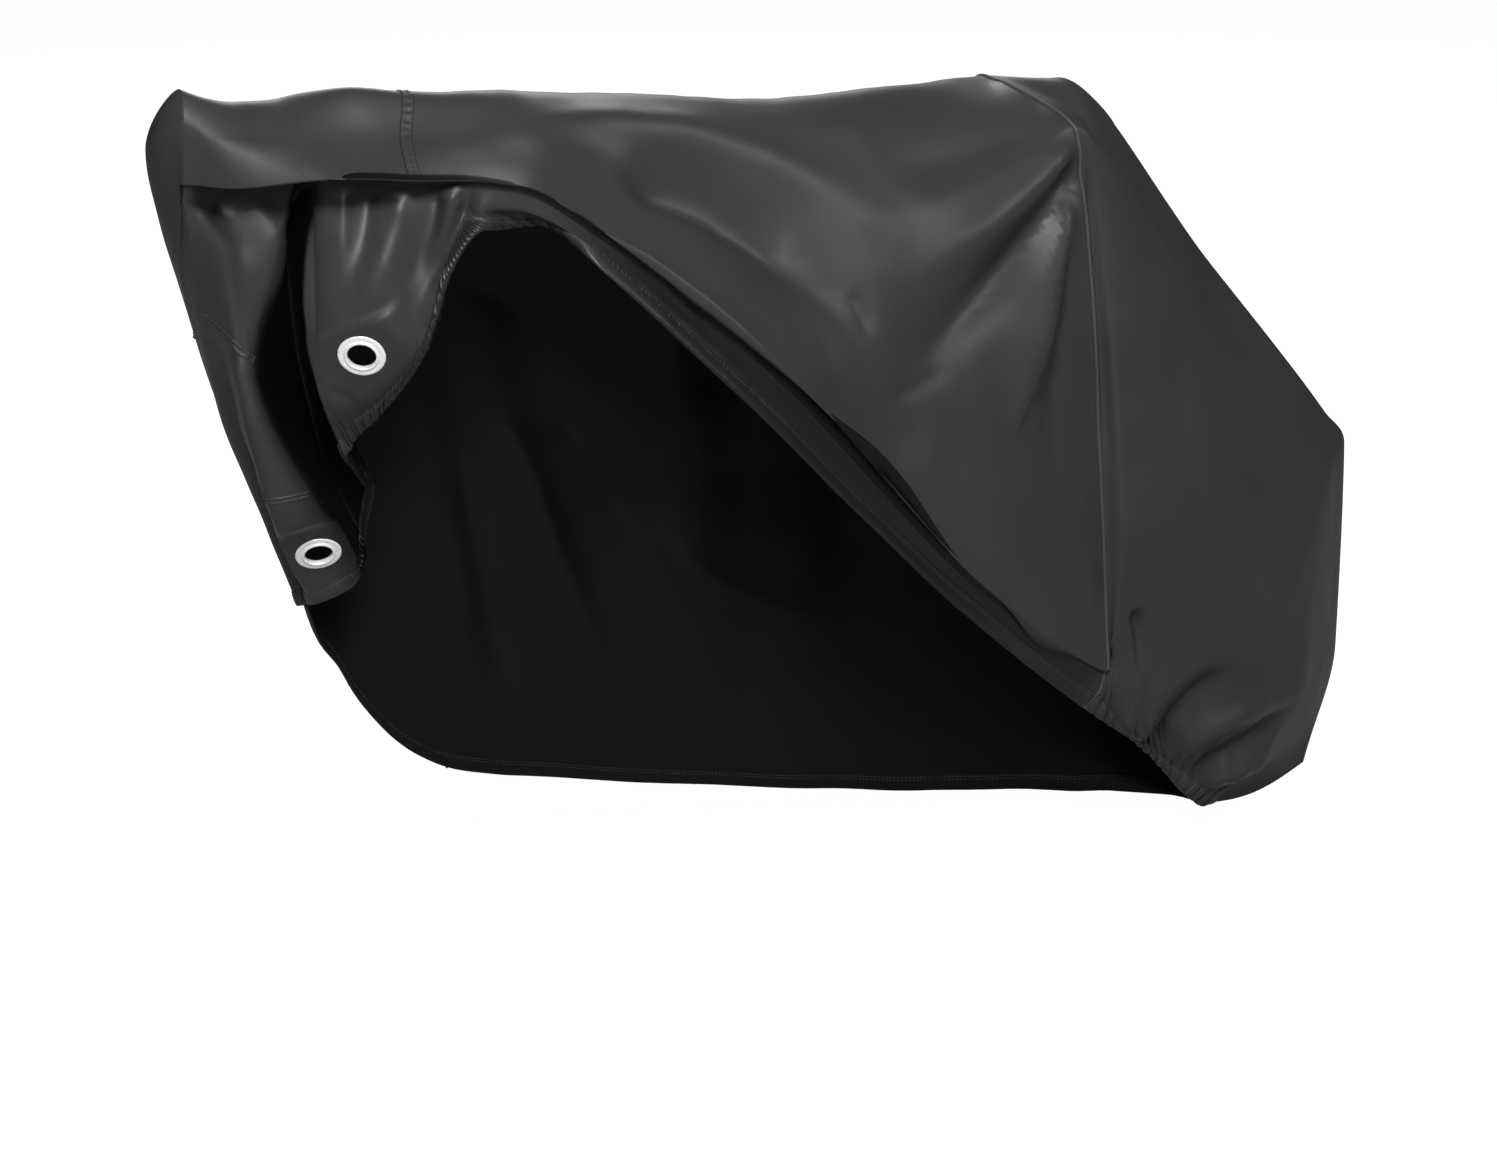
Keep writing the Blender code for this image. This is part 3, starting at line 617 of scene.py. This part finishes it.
def ease_tail(cover):
    share = EASE_PULL * patch(cover, *EASED)[cover.number]
    grid = cover.points[cover.number]
    for _ in range(EASE_ROUNDS):
        between = (grid[:, :-2] + grid[:, 2:]) / 2 - grid[:, 1:-1]
        grid[:, 1:-1] += share[:, 1:-1, None] * between
    cover.points[cover.number[:-1, 1:NEAR]] = grid[:-1, 1:NEAR]


def shape_cover():
    cover = Cover()
    ease_tail(cover)
    pixel = in_picture(cover.points)
    normals = cover.normals()
    push = wide_push(cover, normals) + fine_push(cover, pixel) + gather_push(cover)
    for depth, scale, tall, seed in SWELLS:
        places = cover.points / (np.array((1, 1, tall)) * scale) + seed
        push += depth * np.array([noise.noise(Vector(place)) for place in places])
    room = np.clip(np.abs(cover.points[:, 1]) / TAIL_ROOM, 0, 1)
    push *= np.where(cover.points[:, 0] > TAIL, room, 1)
    cover.points = cover.points + normals * push[:, None]
    flatten_at_eyelets(cover)
    return cover


def flatten_at_eyelets(cover):
    """The cloth is clamped flat by the flanges of each eyelet."""
    for eyelet in EYELETS:
        height, reach, outward = from_eyelet(cover, eyelet)
        wanted = list(PANELS).index(eyelet.strip)
        mine = np.zeros(len(cover.points), bool)
        mine[np.unique(cover.faces[cover.labels_of == wanted])] = True
        share = np.clip((EYELET_BLEND - reach) / (EYELET_BLEND - EYELET_FLAT), 0, 1)
        share *= np.clip(2 - 2 * np.abs(height) / EYELET_REACH, 0, 1)
        share = np.where(mine, smooth(share, 0, 1), 0)
        cover.points = cover.points - outward * (height * share)[:, None]


def shade_of(cover):
    """How much painted shade each point gets: how deep in a fold it lies, from 0 in the open to 1 at the
    bottom.
    """
    tuck = np.interp(cover.s, range(len(TOPS)), [top.tuck for top in TOPS])
    under = patch(cover, *UNDER_LIP) * smooth(tuck, *SHADED_TUCK)
    high = smooth(cover.t, row("seam"), row("groove"))
    mouth, back = (near + (far - near) * high for near, far in (VALLEY_MOUTH, VALLEY_BACK))
    valley = patch(cover, (mouth, mouth + VALLEY_EDGE), (back, back + VALLEY_EDGE), ALWAYS, VALLEY_TOP)
    rest = [share * patch(cover, *place) for share, *place in SHADED]
    return np.maximum.reduce([under, valley, *rest])


def from_eyelet(cover, eyelet):
    """Height of each point over the eyelet's plane, its distance from the axis, the axis."""
    outward = np.array(eyelet.outward) / np.linalg.norm(eyelet.outward)
    offset = cover.points - np.array(eyelet.centre)
    height = offset @ outward
    return height, length_of(offset - height[:, None] * outward), outward


# ---- pieces
def add_object(name, data):
    made = bpy.data.objects.new(name, data)
    bpy.context.collection.objects.link(made)
    return made


def add_piece(name, points, polygons, materials, sides=None, flat=()):
    """A mesh object, smooth but for the polygons in flat."""
    mesh = bpy.data.meshes.new(name)
    mesh.from_pydata((np.asarray(points) - FOOTPRINT_CENTRE).tolist(), [], polygons)
    for material in materials:
        mesh.materials.append(material)
    if sides is not None:
        mesh.polygons.foreach_set("material_index", sides)
    rounded = np.ones(len(polygons), bool)
    rounded[list(flat)] = False
    mesh.polygons.foreach_set("use_smooth", rounded)
    mesh.update()
    return add_object(name, mesh)


def panel_object(cover, normals, name, materials):
    """One cut piece as a closed thin sheet: outer faces, inner faces and rim."""
    faces = cover.faces[cover.labels_of == list(PANELS).index(name)]
    eyelet = next((e for e in EYELETS if e.strip == name), None)
    if eyelet:
        faces = open_hole(cover, faces, eyelet)
    used, flat = np.unique(faces, return_inverse=True)
    local = flat.reshape(faces.shape)
    place, normal = cover.points[used], normals[used]
    edges = np.concatenate([local[:, [0, 1]], local[:, [1, 2]], local[:, [2, 0]]]).tolist()
    known = {(a, b) for a, b in edges}
    rim = [(a, b) for a, b in edges if (b, a) not in known]
    count = len(place)
    outer, inner = place + normal * CLOTH / 2, place - normal * CLOTH / 2
    walls = [(b, a, a + count, b + count) for a, b in rim]
    polygons = local.tolist() + (local[:, ::-1] + count).tolist() + walls
    sides = np.zeros(len(polygons), int)
    sides[len(local):2 * len(local)] = 1
    rim_faces = range(2 * len(local), len(polygons))
    piece = add_piece(name, np.concatenate([outer, inner]), polygons, materials, sides, rim_faces)
    lengths = cloth_lengths(cover)[used]
    add_layers(piece.data, np.tile(shade_of(cover)[used], 2), np.tile(lengths, (2, 1)))
    share_normals(piece.data, normal, rim_faces)
    corners = cover.points[faces]
    area = length_of(np.cross(corners[:, 1] - corners[:, 0], corners[:, 2] - corners[:, 0]))
    return piece, float(area.sum() / 2), np.ptp(lengths, axis=0)


def corners_of(mesh):
    """The point of each face's corner."""
    corner = np.zeros(len(mesh.loops), int)
    mesh.loops.foreach_get("vertex_index", corner)
    return corner


def add_layers(mesh, shade, places):
    """Painted shade of each point, and UVs in metres over the cloth, so that the weave follows it."""
    mesh.attributes.new("shade", "FLOAT", "POINT").data.foreach_set("value", shade)
    layer = mesh.uv_layers.new(name="cloth")
    layer.data.foreach_set("uv", places[corners_of(mesh)].reshape(-1))


def tube_layers(mesh, spots, shade, spacing):
    """The layers of a tube whose rings stand at spots along its route."""
    count = len(mesh.vertices) // len(spots)
    index = np.arange(len(mesh.vertices))
    places = np.stack([spots[index // count], index % count * spacing], axis=1)
    add_layers(mesh, np.repeat(shade, count), places)


def share_normals(mesh, normal, rim_faces):
    """The whole cover's normals, so that neighbouring pieces shade as one cloth."""
    custom = np.concatenate([normal, -normal])[corners_of(mesh)]
    for k in rim_faces:
        face = mesh.polygons[k]
        custom[face.loop_start:face.loop_start + face.loop_total] = face.normal
    mesh.normals_split_custom_set(custom.tolist())


def cloth_lengths(cover):
    """Distances of each point over the cloth, along it and down it."""
    along, down = np.zeros(len(cover.points)), np.zeros(len(cover.points))
    grid_along, grid_down = cover.lengths()
    along[cover.number.reshape(-1)] = grid_along.reshape(-1)
    down[cover.number.reshape(-1)] = grid_down.reshape(-1)
    bow = cover.bow[:, 1:-1].reshape(-1)
    along[bow] = cover.s[bow] * BOW_WIDTH
    down[bow] = np.interp(cover.t[bow], cover.row, grid_down[0])
    return np.stack([along, down], axis=1)


def open_hole(cover, faces, eyelet):
    """Takes out the cloth inside the eyelet and draws the rim onto the hole's circle."""
    height, reach, outward = from_eyelet(cover, eyelet)
    centre = np.array(eyelet.centre)
    flat = cover.points - centre - height[:, None] * outward
    reach = np.where(np.abs(height) < EYELET_BARREL, reach, 1.0)
    inside = (reach[faces] < CLOTH_HOLE).any(axis=1)
    kept = faces[~inside]
    edge = np.intersect1d(np.unique(faces[inside]), np.unique(kept))
    pull = CLOTH_HOLE / np.maximum(reach[edge], 1e-6)
    cover.points[edge] = centre + outward * height[edge][:, None] + flat[edge] * pull[:, None]
    return kept


def eyelet_object(eyelet, material):
    """A pressed eyelet: rounded flange, rolled barrel and the washer behind the cloth."""
    slot = CLOTH / 2 + FLANGE_CLEARANCE
    face = slot + FLANGE_THICKNESS
    wall = EYELET_BARREL - EYELET_HOLE
    hole, barrel, flange = EYELET_HOLE, EYELET_BARREL, EYELET_FLANGE
    profile = [
        (barrel, -slot), (flange - .0008, -slot), (flange, -slot - .0003),
        (flange, -face + .0003), (flange - .0006, -face),
        (barrel + .0012, -face), (hole + .0004, -face + .0002),
        (hole, -face + .0008), (hole, 0), (hole, face - wall),
        (hole + .0002, face + .0008), (hole + .001, face + .0016),
        (hole + .0022, face + .0017), (hole + .0032, face + .0008),
        (hole + .0038, face - .0002), (hole + .0046, face - .0004),
        (hole + .006, face), (flange - .0022, face),
        (flange - .0008, face - .0003), (flange, face - .0009),
        (flange - .0002, slot + .0001), (flange - .001, slot), (barrel, slot),
    ]
    around = 96
    turn = np.linspace(0, 2 * math.pi, around, endpoint=False)
    radius, height = np.array(profile).T
    ring = np.stack([np.outer(np.cos(turn), radius), np.outer(np.sin(turn), radius),
                     np.tile(height, (around, 1))], axis=2)
    frame = np.array(Vector(eyelet.outward).to_track_quat("Z", "Y").to_matrix())
    points = ring.reshape(-1, 3) @ frame.T + np.array(eyelet.centre)
    return add_piece(eyelet.node + "_metal", points, ring_faces(around, len(profile)), [material])


def ring_faces(around, count):
    """Quads between the closed rings of a closed tube."""
    faces = []
    for a in range(around):
        b = (a + 1) % around
        for k in range(count):
            n = (k + 1) % count
            faces.append((a * count + k, b * count + k, b * count + n, a * count + n))
    return faces


# ---- hems
# Across the hem: share of its width in from the cloth's edge, height over the cloth.
HEM_PROFILE = [(1, .0006), (.96, .0014), (.84, .0018), (.68, .0024), (.45, .0027), (.22, .0026),
               (.06, .0022), (-.05, .0013)]
# Along the hem, at each section: the height of its pleats, as a share of a full ruche.
RUCHE = [.15, .2, .3, .5, .8, 1, 1, 1, .8, .5, .25, .12, .1, .35, .7, .72, .74, .76, .78, .8]
FAR_RUCHE = 0.18
RUCHE_HEIGHT = 0.0021
RUCHED = 0.45
HEM_SPOTS = 8000
HEM_STITCHES = (.72, .88)


class Hem:
    """The turned and stitched edge, once around the whole opening."""

    def __init__(self, cover, normals):
        rows = np.arange(sum(list(DOWN.values())[:3]))
        bow = cover.bow[rows][:, ::-1].T
        near = cover.number[1:, rows]
        far = cover.number[1:-1, LAST - rows][::-1]
        columns = np.concatenate([bow, near, far])
        ruche = np.interp(cover.section, range(len(RUCHE)), RUCHE)
        far_ruche = np.full(len(far), FAR_RUCHE)
        self.ruche = np.concatenate([np.full(len(bow), RUCHE[0]), ruche[1:], far_ruche, RUCHE[:1]])
        place, normal = cover.points[columns], normals[columns]
        inset = np.zeros(columns.shape)
        inset[:, 1:] = np.cumsum(length_of(np.diff(place, axis=1)), axis=1)
        self.shade = shade_of(cover)[np.append(columns[:, 0], columns[0, 0])]
        self.edge = place[:, 0]
        step = length_of(np.diff(self.edge, axis=0, append=self.edge[:1]))
        self.length = np.concatenate([[0.0], np.cumsum(step)])
        self.place, self.normal, self.inset = place, normal, inset

    def read(self, inset, spots):
        """Places and normals this far in from the edge, at spots along the hem."""
        out = []
        for values in (self.place, self.normal):
            lines = np.array([read_line(inset, *line) for line in zip(self.inset, values)])
            out.append(read_line(spots, self.length, np.concatenate([lines, lines[:1]])))
        return out[0], unit(out[1])

    def spots(self):
        """Places of the rings: close together where the hem is ruched."""
        fine = np.linspace(0, self.length[-1], HEM_SPOTS)
        step = np.where(np.interp(fine, self.length, self.ruche) > RUCHED, RUCHE_STEP, HEM_STEP)
        count = np.cumsum(np.append(0, np.diff(fine) / step[1:]))
        return np.interp(np.arange(int(count[-1])), count, fine)

    def pleats(self, spots):
        ruche = np.interp(spots, self.length, self.ruche)
        uneven, coarse = noise_along(spots, 60, 1.5, 0), noise_along(spots, 18, 7.5, 0)
        wave = .5 + .5 * np.cos(2 * math.pi * spots / RUCHE_PERIOD + 4 * uneven)
        return ruche * RUCHE_HEIGHT * (wave + .6 * coarse)


def pleat_share(share):
    """The pleats fade out at both edges of the hem."""
    return np.clip(min(share + .15, 1.05 - share) * 5, 0, 1)


def hem_object(hem, materials):
    """The turned hem as a flat tube around the cloth's edge."""
    spots = hem.spots()
    pleats = hem.pleats(spots)
    edge = hem.read(0.0, spots)[0]
    inward = unit(hem.read(.004, spots)[0] - edge)
    rings = []
    for side in (1, -1):
        profile = HEM_PROFILE if side > 0 else HEM_PROFILE[::-1]
        for share, height in profile:
            inset = share * HEM_WIDTH
            place, normal = hem.read(max(inset, 0.0), spots)
            place = place + inward * min(inset, 0.0)
            rings.append(place + normal * (side * (height + pleats * pleat_share(share)))[:, None])
        if side > 0:
            rings.append(edge - inward * (.08 * HEM_WIDTH + .3 * pleats)[:, None])
    points = np.stack(rings, axis=1)
    faces = ring_faces(len(spots), points.shape[1])
    last_outer = len(HEM_PROFILE)
    sides = (np.arange(len(faces)) % points.shape[1] >= last_outer).astype(int)
    piece = add_piece("hem_cloth", points.reshape(-1, 3), faces, materials, sides)
    shade = np.interp(spots, hem.length, hem.shade)
    tube_layers(piece.data, spots, shade, HEM_WIDTH / len(HEM_PROFILE))
    return piece


# ---- seams and thread
# A sewn seam runs through places (section, row) of the tables.
Seam = namedtuple("Seam", "name width height dip pucker stitches places")
SEAMS = [
    Seam("front_seam", .0065, .0011, .6, .0005, (-.0042, .0042),
         [("front seam", "lip", -.1)] + [("front seam", name, 0) for name in ROWS[6:]]),
    Seam("rear_seam", .002, .0024, 0, .0001, (),
         [("rear seam", name, 0) for name in ROWS if name != "under"]),
    Seam("nose_seam_near", .0048, .0011, .9, .0006, (-.003, .003),
         [(name, "seam", 0) for name in SECTIONS[:3]]),
    Seam("nose_seam_far", .0048, .0011, .9, .0005, (-.003, .003),
         [(name, "far seam", 0) for name in ("nose crease", "flap lip", "front seam")]),
    Seam("far_strip_seam", .0045, .001, .9, .0006, (-.0028, .0028),
         [(name, "knee", 0) for name in SECTIONS[:3]]),
]
SEAM_STEP = 0.0016
SEAM_POINTS = 13
DIP_WIDTH = 0.22          # as a share of half the seam's width
PUCKER_PERIOD = 0.0105
ROUTE_SPOTS = 1200        # fine enough to measure a seam's length


def route_of(cover, normals, places, step):
    """Evenly spaced places, normals and directions along a seam."""
    knots = np.array([(section(s), row(t) + shift) for s, t, shift in places], float)
    part = np.linspace(0, len(knots) - 1, ROUTE_SPOTS)
    pairs = read_line(part, range(len(knots)), knots)
    line = cover.at(pairs, cover.points)
    length = np.append(0, np.cumsum(length_of(np.diff(line, axis=0))))
    spots = np.arange(0, length[-1], step)
    pairs = read_line(spots, length, pairs)
    place, normal = cover.at(pairs, cover.points), unit(cover.at(pairs, normals))
    ahead = unit(np.gradient(place, axis=0))
    return spots, place, normal, ahead, pairs


def seam_profile(seam, share):
    """Height of a seam's band over the cloth: two soft rolls and the dip between them."""
    roll = np.sqrt(np.clip(1 - np.abs(share) ** 3, 0, 1))
    return seam.height * roll * (1 - seam.dip * np.exp(-(share / DIP_WIDTH) ** 2))


def seam_object(cover, normals, seam, materials):
    spots, place, normal, ahead, pairs = route_of(cover, normals, seam.places, SEAM_STEP)
    shade = cover.at(pairs, shade_of(cover)[:, None])[:, 0]
    across = np.cross(normal, ahead)
    uneven = noise_along(spots, 90, 2.5, seam.width * 1e4)
    pucker = seam.pucker * np.cos(2 * math.pi * spots / PUCKER_PERIOD + 3 * uneven)
    rings = []
    for share in np.linspace(-1, 1, SEAM_POINTS):
        height = CLOTH / 2 + seam_profile(seam, share) + pucker * (1 - abs(share))
        side = share * seam.width * (1 + .12 * uneven)
        rings.append(place + across * side[:, None] + normal * height[:, None])
    for share in (.9, -.9):
        rings.append(place + across * share * seam.width)
    points = np.stack(rings, axis=1)
    count = points.shape[1]
    faces = ring_faces(len(spots), count)[:-count]
    faces += [tuple(range(count))[::-1], tuple((len(spots) - 1) * count + k for k in range(count))]
    piece = add_piece(seam.name, points.reshape(-1, 3), faces, materials)
    tube_layers(piece.data, spots, shade, seam.width / 6)
    return piece


# Along a stitch, in halves of its length: how thick it is.
STITCH_SHAPE = [(-1, .35), (-.55, 1), (.55, 1), (1, .35)]


def stitch_points(place, normal, ahead, sink):
    """Corners of the stitches, six sided and drawn in at both ends."""
    side = np.cross(normal, ahead)
    half = STITCH_LENGTH / 2
    corners = []
    for along, size in STITCH_SHAPE:
        for k in range(6):
            turn = math.pi * k / 3
            out = side * math.cos(turn) + normal * math.sin(turn)
            drop = sink if abs(along) == 1 else 0.0
            corners.append(place + ahead * along * half + out * size * THREAD / 2 - normal * drop)
    return np.stack(corners, axis=1)


def stitch_faces(count):
    faces = []
    for start in range(0, count * 24, 24):
        for ring in range(3):
            a = start + ring * 6
            faces += [(a + k, a + (k + 1) % 6, a + 6 + (k + 1) % 6, a + 6 + k) for k in range(6)]
        faces += [tuple(start + k for k in range(6))[::-1], tuple(start + 18 + k for k in range(6))]
    return faces


def thread_object(cover, normals, hem, material):
    """All the stitches that show: beside the seams and along the inner edge of the hem."""
    blocks = []
    for seam in SEAMS:
        _, place, normal, ahead, _ = route_of(cover, normals, seam.places, STITCH_PITCH)
        for offset in seam.stitches:
            height = CLOTH / 2 + seam_profile(seam, offset / seam.width) + .0001
            across = np.cross(normal, ahead)
            blocks.append(stitch_points(place + across * offset + normal * height, normal, ahead, .0004))
    spots = np.arange(0, hem.length[-1], STITCH_PITCH)
    pleats = hem.pleats(spots)
    for share in HEM_STITCHES:
        place, normal = hem.read(share * HEM_WIDTH, spots)
        ahead = unit(np.gradient(place, axis=0))
        height = np.interp(-share, *np.transpose([(-part, high) for part, high in HEM_PROFILE]))
        for side in (1, -1):
            lift = side * (height + pleats * pleat_share(share))[:, None]
            blocks.append(stitch_points(place + normal * lift, normal * side, ahead, .0005))
    points = np.concatenate([block.reshape(-1, 3) for block in blocks])
    return add_piece("sewing_thread", points, stitch_faces(len(points) // 24), [material])


# ---- materials
# A cloth's colour where it is darkest and lightest, its roughness and its gloss.
CLOTHS = {
    "cloth_outside": ((.0195, .0199, .0208), (.0255, .0259, .0268), .43, .22),
    # The inside is the cloth's darker back, made darker still as painted shade for the hollow of the
    # cover.
    "cloth_inside_with_painted_shade": ((.003, .003, .0032), (.0045, .0045, .0048), .6, .12),
    # The edge cloth is lighter as a painted highlight along the ridge of the rear seam.
    "cloth_seam_painted_highlight": ((.034, .035, .036), (.046, .047, .048), .45, .3),
}
# The colour that painted shade darkens the cloth towards, at the bottom of a fold.
PAINTED_SHADE_COLOUR = (.0008, .0008, .0009)


def new_material(name):
    """A material, its nodes and its shader."""
    material = bpy.data.materials.new(name)
    material.use_nodes = True
    return material, material.node_tree, material.node_tree.nodes["Principled BSDF"]


def feed(tree, node, inputs):
    """Fills a node's inputs: an output is linked to its input, a value is set on it."""
    for name, value in inputs.items():
        if isinstance(value, bpy.types.NodeSocket):
            tree.links.new(value, node.inputs[name])
        else:
            node.inputs[name].default_value = value


def add_node(tree, kind, output, inputs, **settings):
    """An output of a new node with these inputs and settings."""
    node = tree.nodes.new(kind)
    for name, value in settings.items():
        setattr(node, name, value)
    feed(tree, node, inputs)
    return node.outputs[output]


def add_clouds(tree, place, scale, detail):
    inputs = {"Vector": place, "Scale": scale, "Detail": detail}
    return add_node(tree, "ShaderNodeTexNoise", "Fac", inputs)


def add_bump(tree, height, strength, distance, **below):
    inputs = {"Height": height, "Strength": strength, "Distance": distance, **below}
    return add_node(tree, "ShaderNodeBump", "Normal", inputs)


def add_range(tree, source, low, high):
    inputs = {"Value": source, "To Min": low, "To Max": high}
    return add_node(tree, "ShaderNodeMapRange", "Result", inputs)


def add_ramp(tree, source, dark, light, start, end):
    """Colour from dark to light as the source goes from start to end."""
    ramp = tree.nodes.new("ShaderNodeValToRGB")
    feed(tree, ramp, {"Fac": source})
    for element, place, colour in zip(ramp.color_ramp.elements, (start, end), (dark, light)):
        element.position = place
        element.color = (*colour, 1)
    return ramp.outputs["Color"]


def cloth_material(name, dark, light, roughness, gloss):
    """Coated woven cloth: fine crossed threads, soft creasing and uneven gloss.  Painted shade darkens its
    colour towards the bottom of a fold."""
    material, tree, shader = new_material(name)
    place = add_node(tree, "ShaderNodeTexCoord", "Object", {})
    over = add_node(tree, "ShaderNodeUVMap", "UV", {}, uv_map="cloth")
    depth = add_node(tree, "ShaderNodeAttribute", "Fac", {}, attribute_name="shade")
    cloudy = add_ramp(tree, add_clouds(tree, place, 6, 4), dark, light, .3, .7)
    # Painted shade: the colour darkens towards PAINTED_SHADE_COLOUR as the shade attribute rises.
    painted_shade_mix = {"Fac": depth, "Color1": cloudy, "Color2": (*PAINTED_SHADE_COLOUR, 1)}
    threads = [add_node(tree, "ShaderNodeTexWave", "Fac", {"Vector": over, "Scale": 170, "Distortion": .4},
                        bands_direction=direction) for direction in "XY"]
    weave = add_node(tree, "ShaderNodeMath", "Value", dict(enumerate(threads)), operation="MULTIPLY")
    fine = add_bump(tree, weave, .10, .0003)
    feed(tree, shader, {
        "Base Color": add_node(tree, "ShaderNodeMixRGB", "Color", painted_shade_mix),
        "Roughness": add_range(tree, add_clouds(tree, place, 22, 3), roughness - .04, roughness + .05),
        "Specular IOR Level": gloss,
        "Normal": add_bump(tree, add_clouds(tree, place, 30, 4), .16, .002, Normal=fine),
    })
    return material


def metal_material():
    """Pale enamelled metal, a little mottled and rubbed."""
    material, tree, shader = new_material("eyelet_enamel")
    place = add_node(tree, "ShaderNodeTexCoord", "Object", {})
    mottle = add_clouds(tree, place, 160, 2)
    feed(tree, shader, {
        "Base Color": add_ramp(tree, mottle, (.74, .74, .74), (.90, .90, .90), 0, 1),
        "Roughness": add_range(tree, mottle, .22, .36),
        "Metallic": .45,
    })
    return material


def thread_material():
    """Twisted thread: fine slanting plies."""
    material, tree, shader = new_material("thread")
    place = add_node(tree, "ShaderNodeTexCoord", "Object", {})
    plies = add_node(tree, "ShaderNodeTexWave", "Fac", {"Vector": place, "Scale": 600},
                     bands_direction="DIAGONAL")
    feed(tree, shader, {
        "Base Color": (.030, .030, .032, 1),
        "Roughness": .5,
        "Normal": add_bump(tree, plies, .3, .0002),
    })
    return material


# ---- stage
WHITE = (1, 1, 1, 1)
FLOOR_GREY = (.30, .30, .30, 1)
FLOOR_REACH = 30.0
FLOOR_GLOW = 0.90
ROOM_LIGHT = 0.09
Lamp = namedtuple("Lamp", "name place width length power")
LAMPS = [
    Lamp("key", (-2.2, -2.9, 3.3), 1.5, 1.5, 330),
    Lamp("fill", (2.6, -3.2, 3.4), 1.6, 1.6, 85),
    Lamp("back", (1.5, 3.2, 3.0), 2.4, 2.0, 80),
]
LAMP_AIM = Vector((0, 0, .6))


def make_camera():
    right, up, ahead = camera_axes()
    data = bpy.data.cameras.new("photo camera")
    data.sensor_width = 36.0
    data.lens = FOCAL_PIXELS * data.sensor_width / FRAME_SIZE[0]
    camera = add_object("photo camera", data)
    turn = Matrix((right, up, -ahead)).transposed().to_4x4()
    turn.translation = Vector(CAMERA_PLACE - FOOTPRINT_CENTRE)
    camera.matrix_world = turn
    bpy.context.scene.camera = camera


def add_lamp(lamp):
    data = bpy.data.lights.new(lamp.name, "AREA")
    data.shape = "RECTANGLE"
    data.size, data.size_y = lamp.width, lamp.length
    data.energy = lamp.power
    light = add_object(lamp.name, data)
    light.location = lamp.place
    light.rotation_euler = (LAMP_AIM - Vector(lamp.place)).to_track_quat("-Z", "Y").to_euler()


def seen_only(tree, base, shown):
    """Joins two shaders: `shown` for what the camera sees directly, `base` for all light."""
    direct = add_node(tree, "ShaderNodeLightPath", "Is Camera Ray", {})
    return add_node(tree, "ShaderNodeMixShader", "Shader", {"Fac": direct, 1: base, 2: shown})


def floor_material():
    """Matt white, a little brighter to the eye than the light on it, as a lit paper sweep."""
    material, tree, shader = new_material("floor")
    feed(tree, shader, {"Base Color": FLOOR_GREY, "Roughness": .9, "Specular IOR Level": 0})
    matt = shader.outputs["BSDF"]
    glow = add_node(tree, "ShaderNodeEmission", "Emission", {"Strength": FLOOR_GLOW})
    both = add_node(tree, "ShaderNodeAddShader", "Shader", {0: matt, 1: glow})
    feed(tree, tree.nodes["Material Output"], {"Surface": seen_only(tree, matt, both)})
    return material


def make_world():
    world = bpy.data.worlds.new("studio")
    world.use_nodes = True
    tree = world.node_tree
    room = tree.nodes["Background"]
    feed(tree, room, {"Color": WHITE, "Strength": ROOM_LIGHT})
    backdrop = add_node(tree, "ShaderNodeBackground", "Background", {"Color": WHITE})
    surface = seen_only(tree, room.outputs["Background"], backdrop)
    feed(tree, tree.nodes["World Output"], {"Surface": surface})
    bpy.context.scene.world = world


def make_stage():
    reach, height = FLOOR_REACH, -float(FOOTPRINT_CENTRE[2])
    corners = [(-reach, -reach), (reach, -reach), (reach, reach), (-reach, reach)]
    mesh = bpy.data.meshes.new("floor")
    mesh.from_pydata([(x, y, height) for x, y in corners], [], [(0, 1, 2, 3)])
    mesh.materials.append(floor_material())
    add_object("floor", mesh)
    make_world()
    bpy.context.scene.view_settings.view_transform = "Standard"
    for lamp in LAMPS:
        add_lamp(lamp)


def settle(piece, node=None):
    """A piece rides on the one body and may stand for a solid."""
    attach(piece, "root")
    if node:
        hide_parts(node)


def main():
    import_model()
    make_camera()
    make_stage()
    # The inside cloth is the darker back of the cloth with painted shade added.
    outside, inside, edge = (cloth_material(name, *look) for name, look in CLOTHS.items())
    metal, thread = metal_material(), thread_material()
    cover = shape_cover()
    normals = cover.normals()
    hem = Hem(cover, normals)
    trim = [hem_object(hem, (outside, inside)), thread_object(cover, normals, hem, thread)]
    # The rear seam, without stitches, takes the lighter cloth: a painted highlight along its ridge.
    trim += [seam_object(cover, normals, seam, [outside if seam.stitches else edge]) for seam in SEAMS]
    for piece in trim:
        settle(piece)
    for name, node in PANELS.items():
        piece, area, size = panel_object(cover, normals, name, (outside, inside))
        settle(piece, node)
    for eyelet in EYELETS:
        settle(eyelet_object(eyelet, metal), eyelet.node)


main()
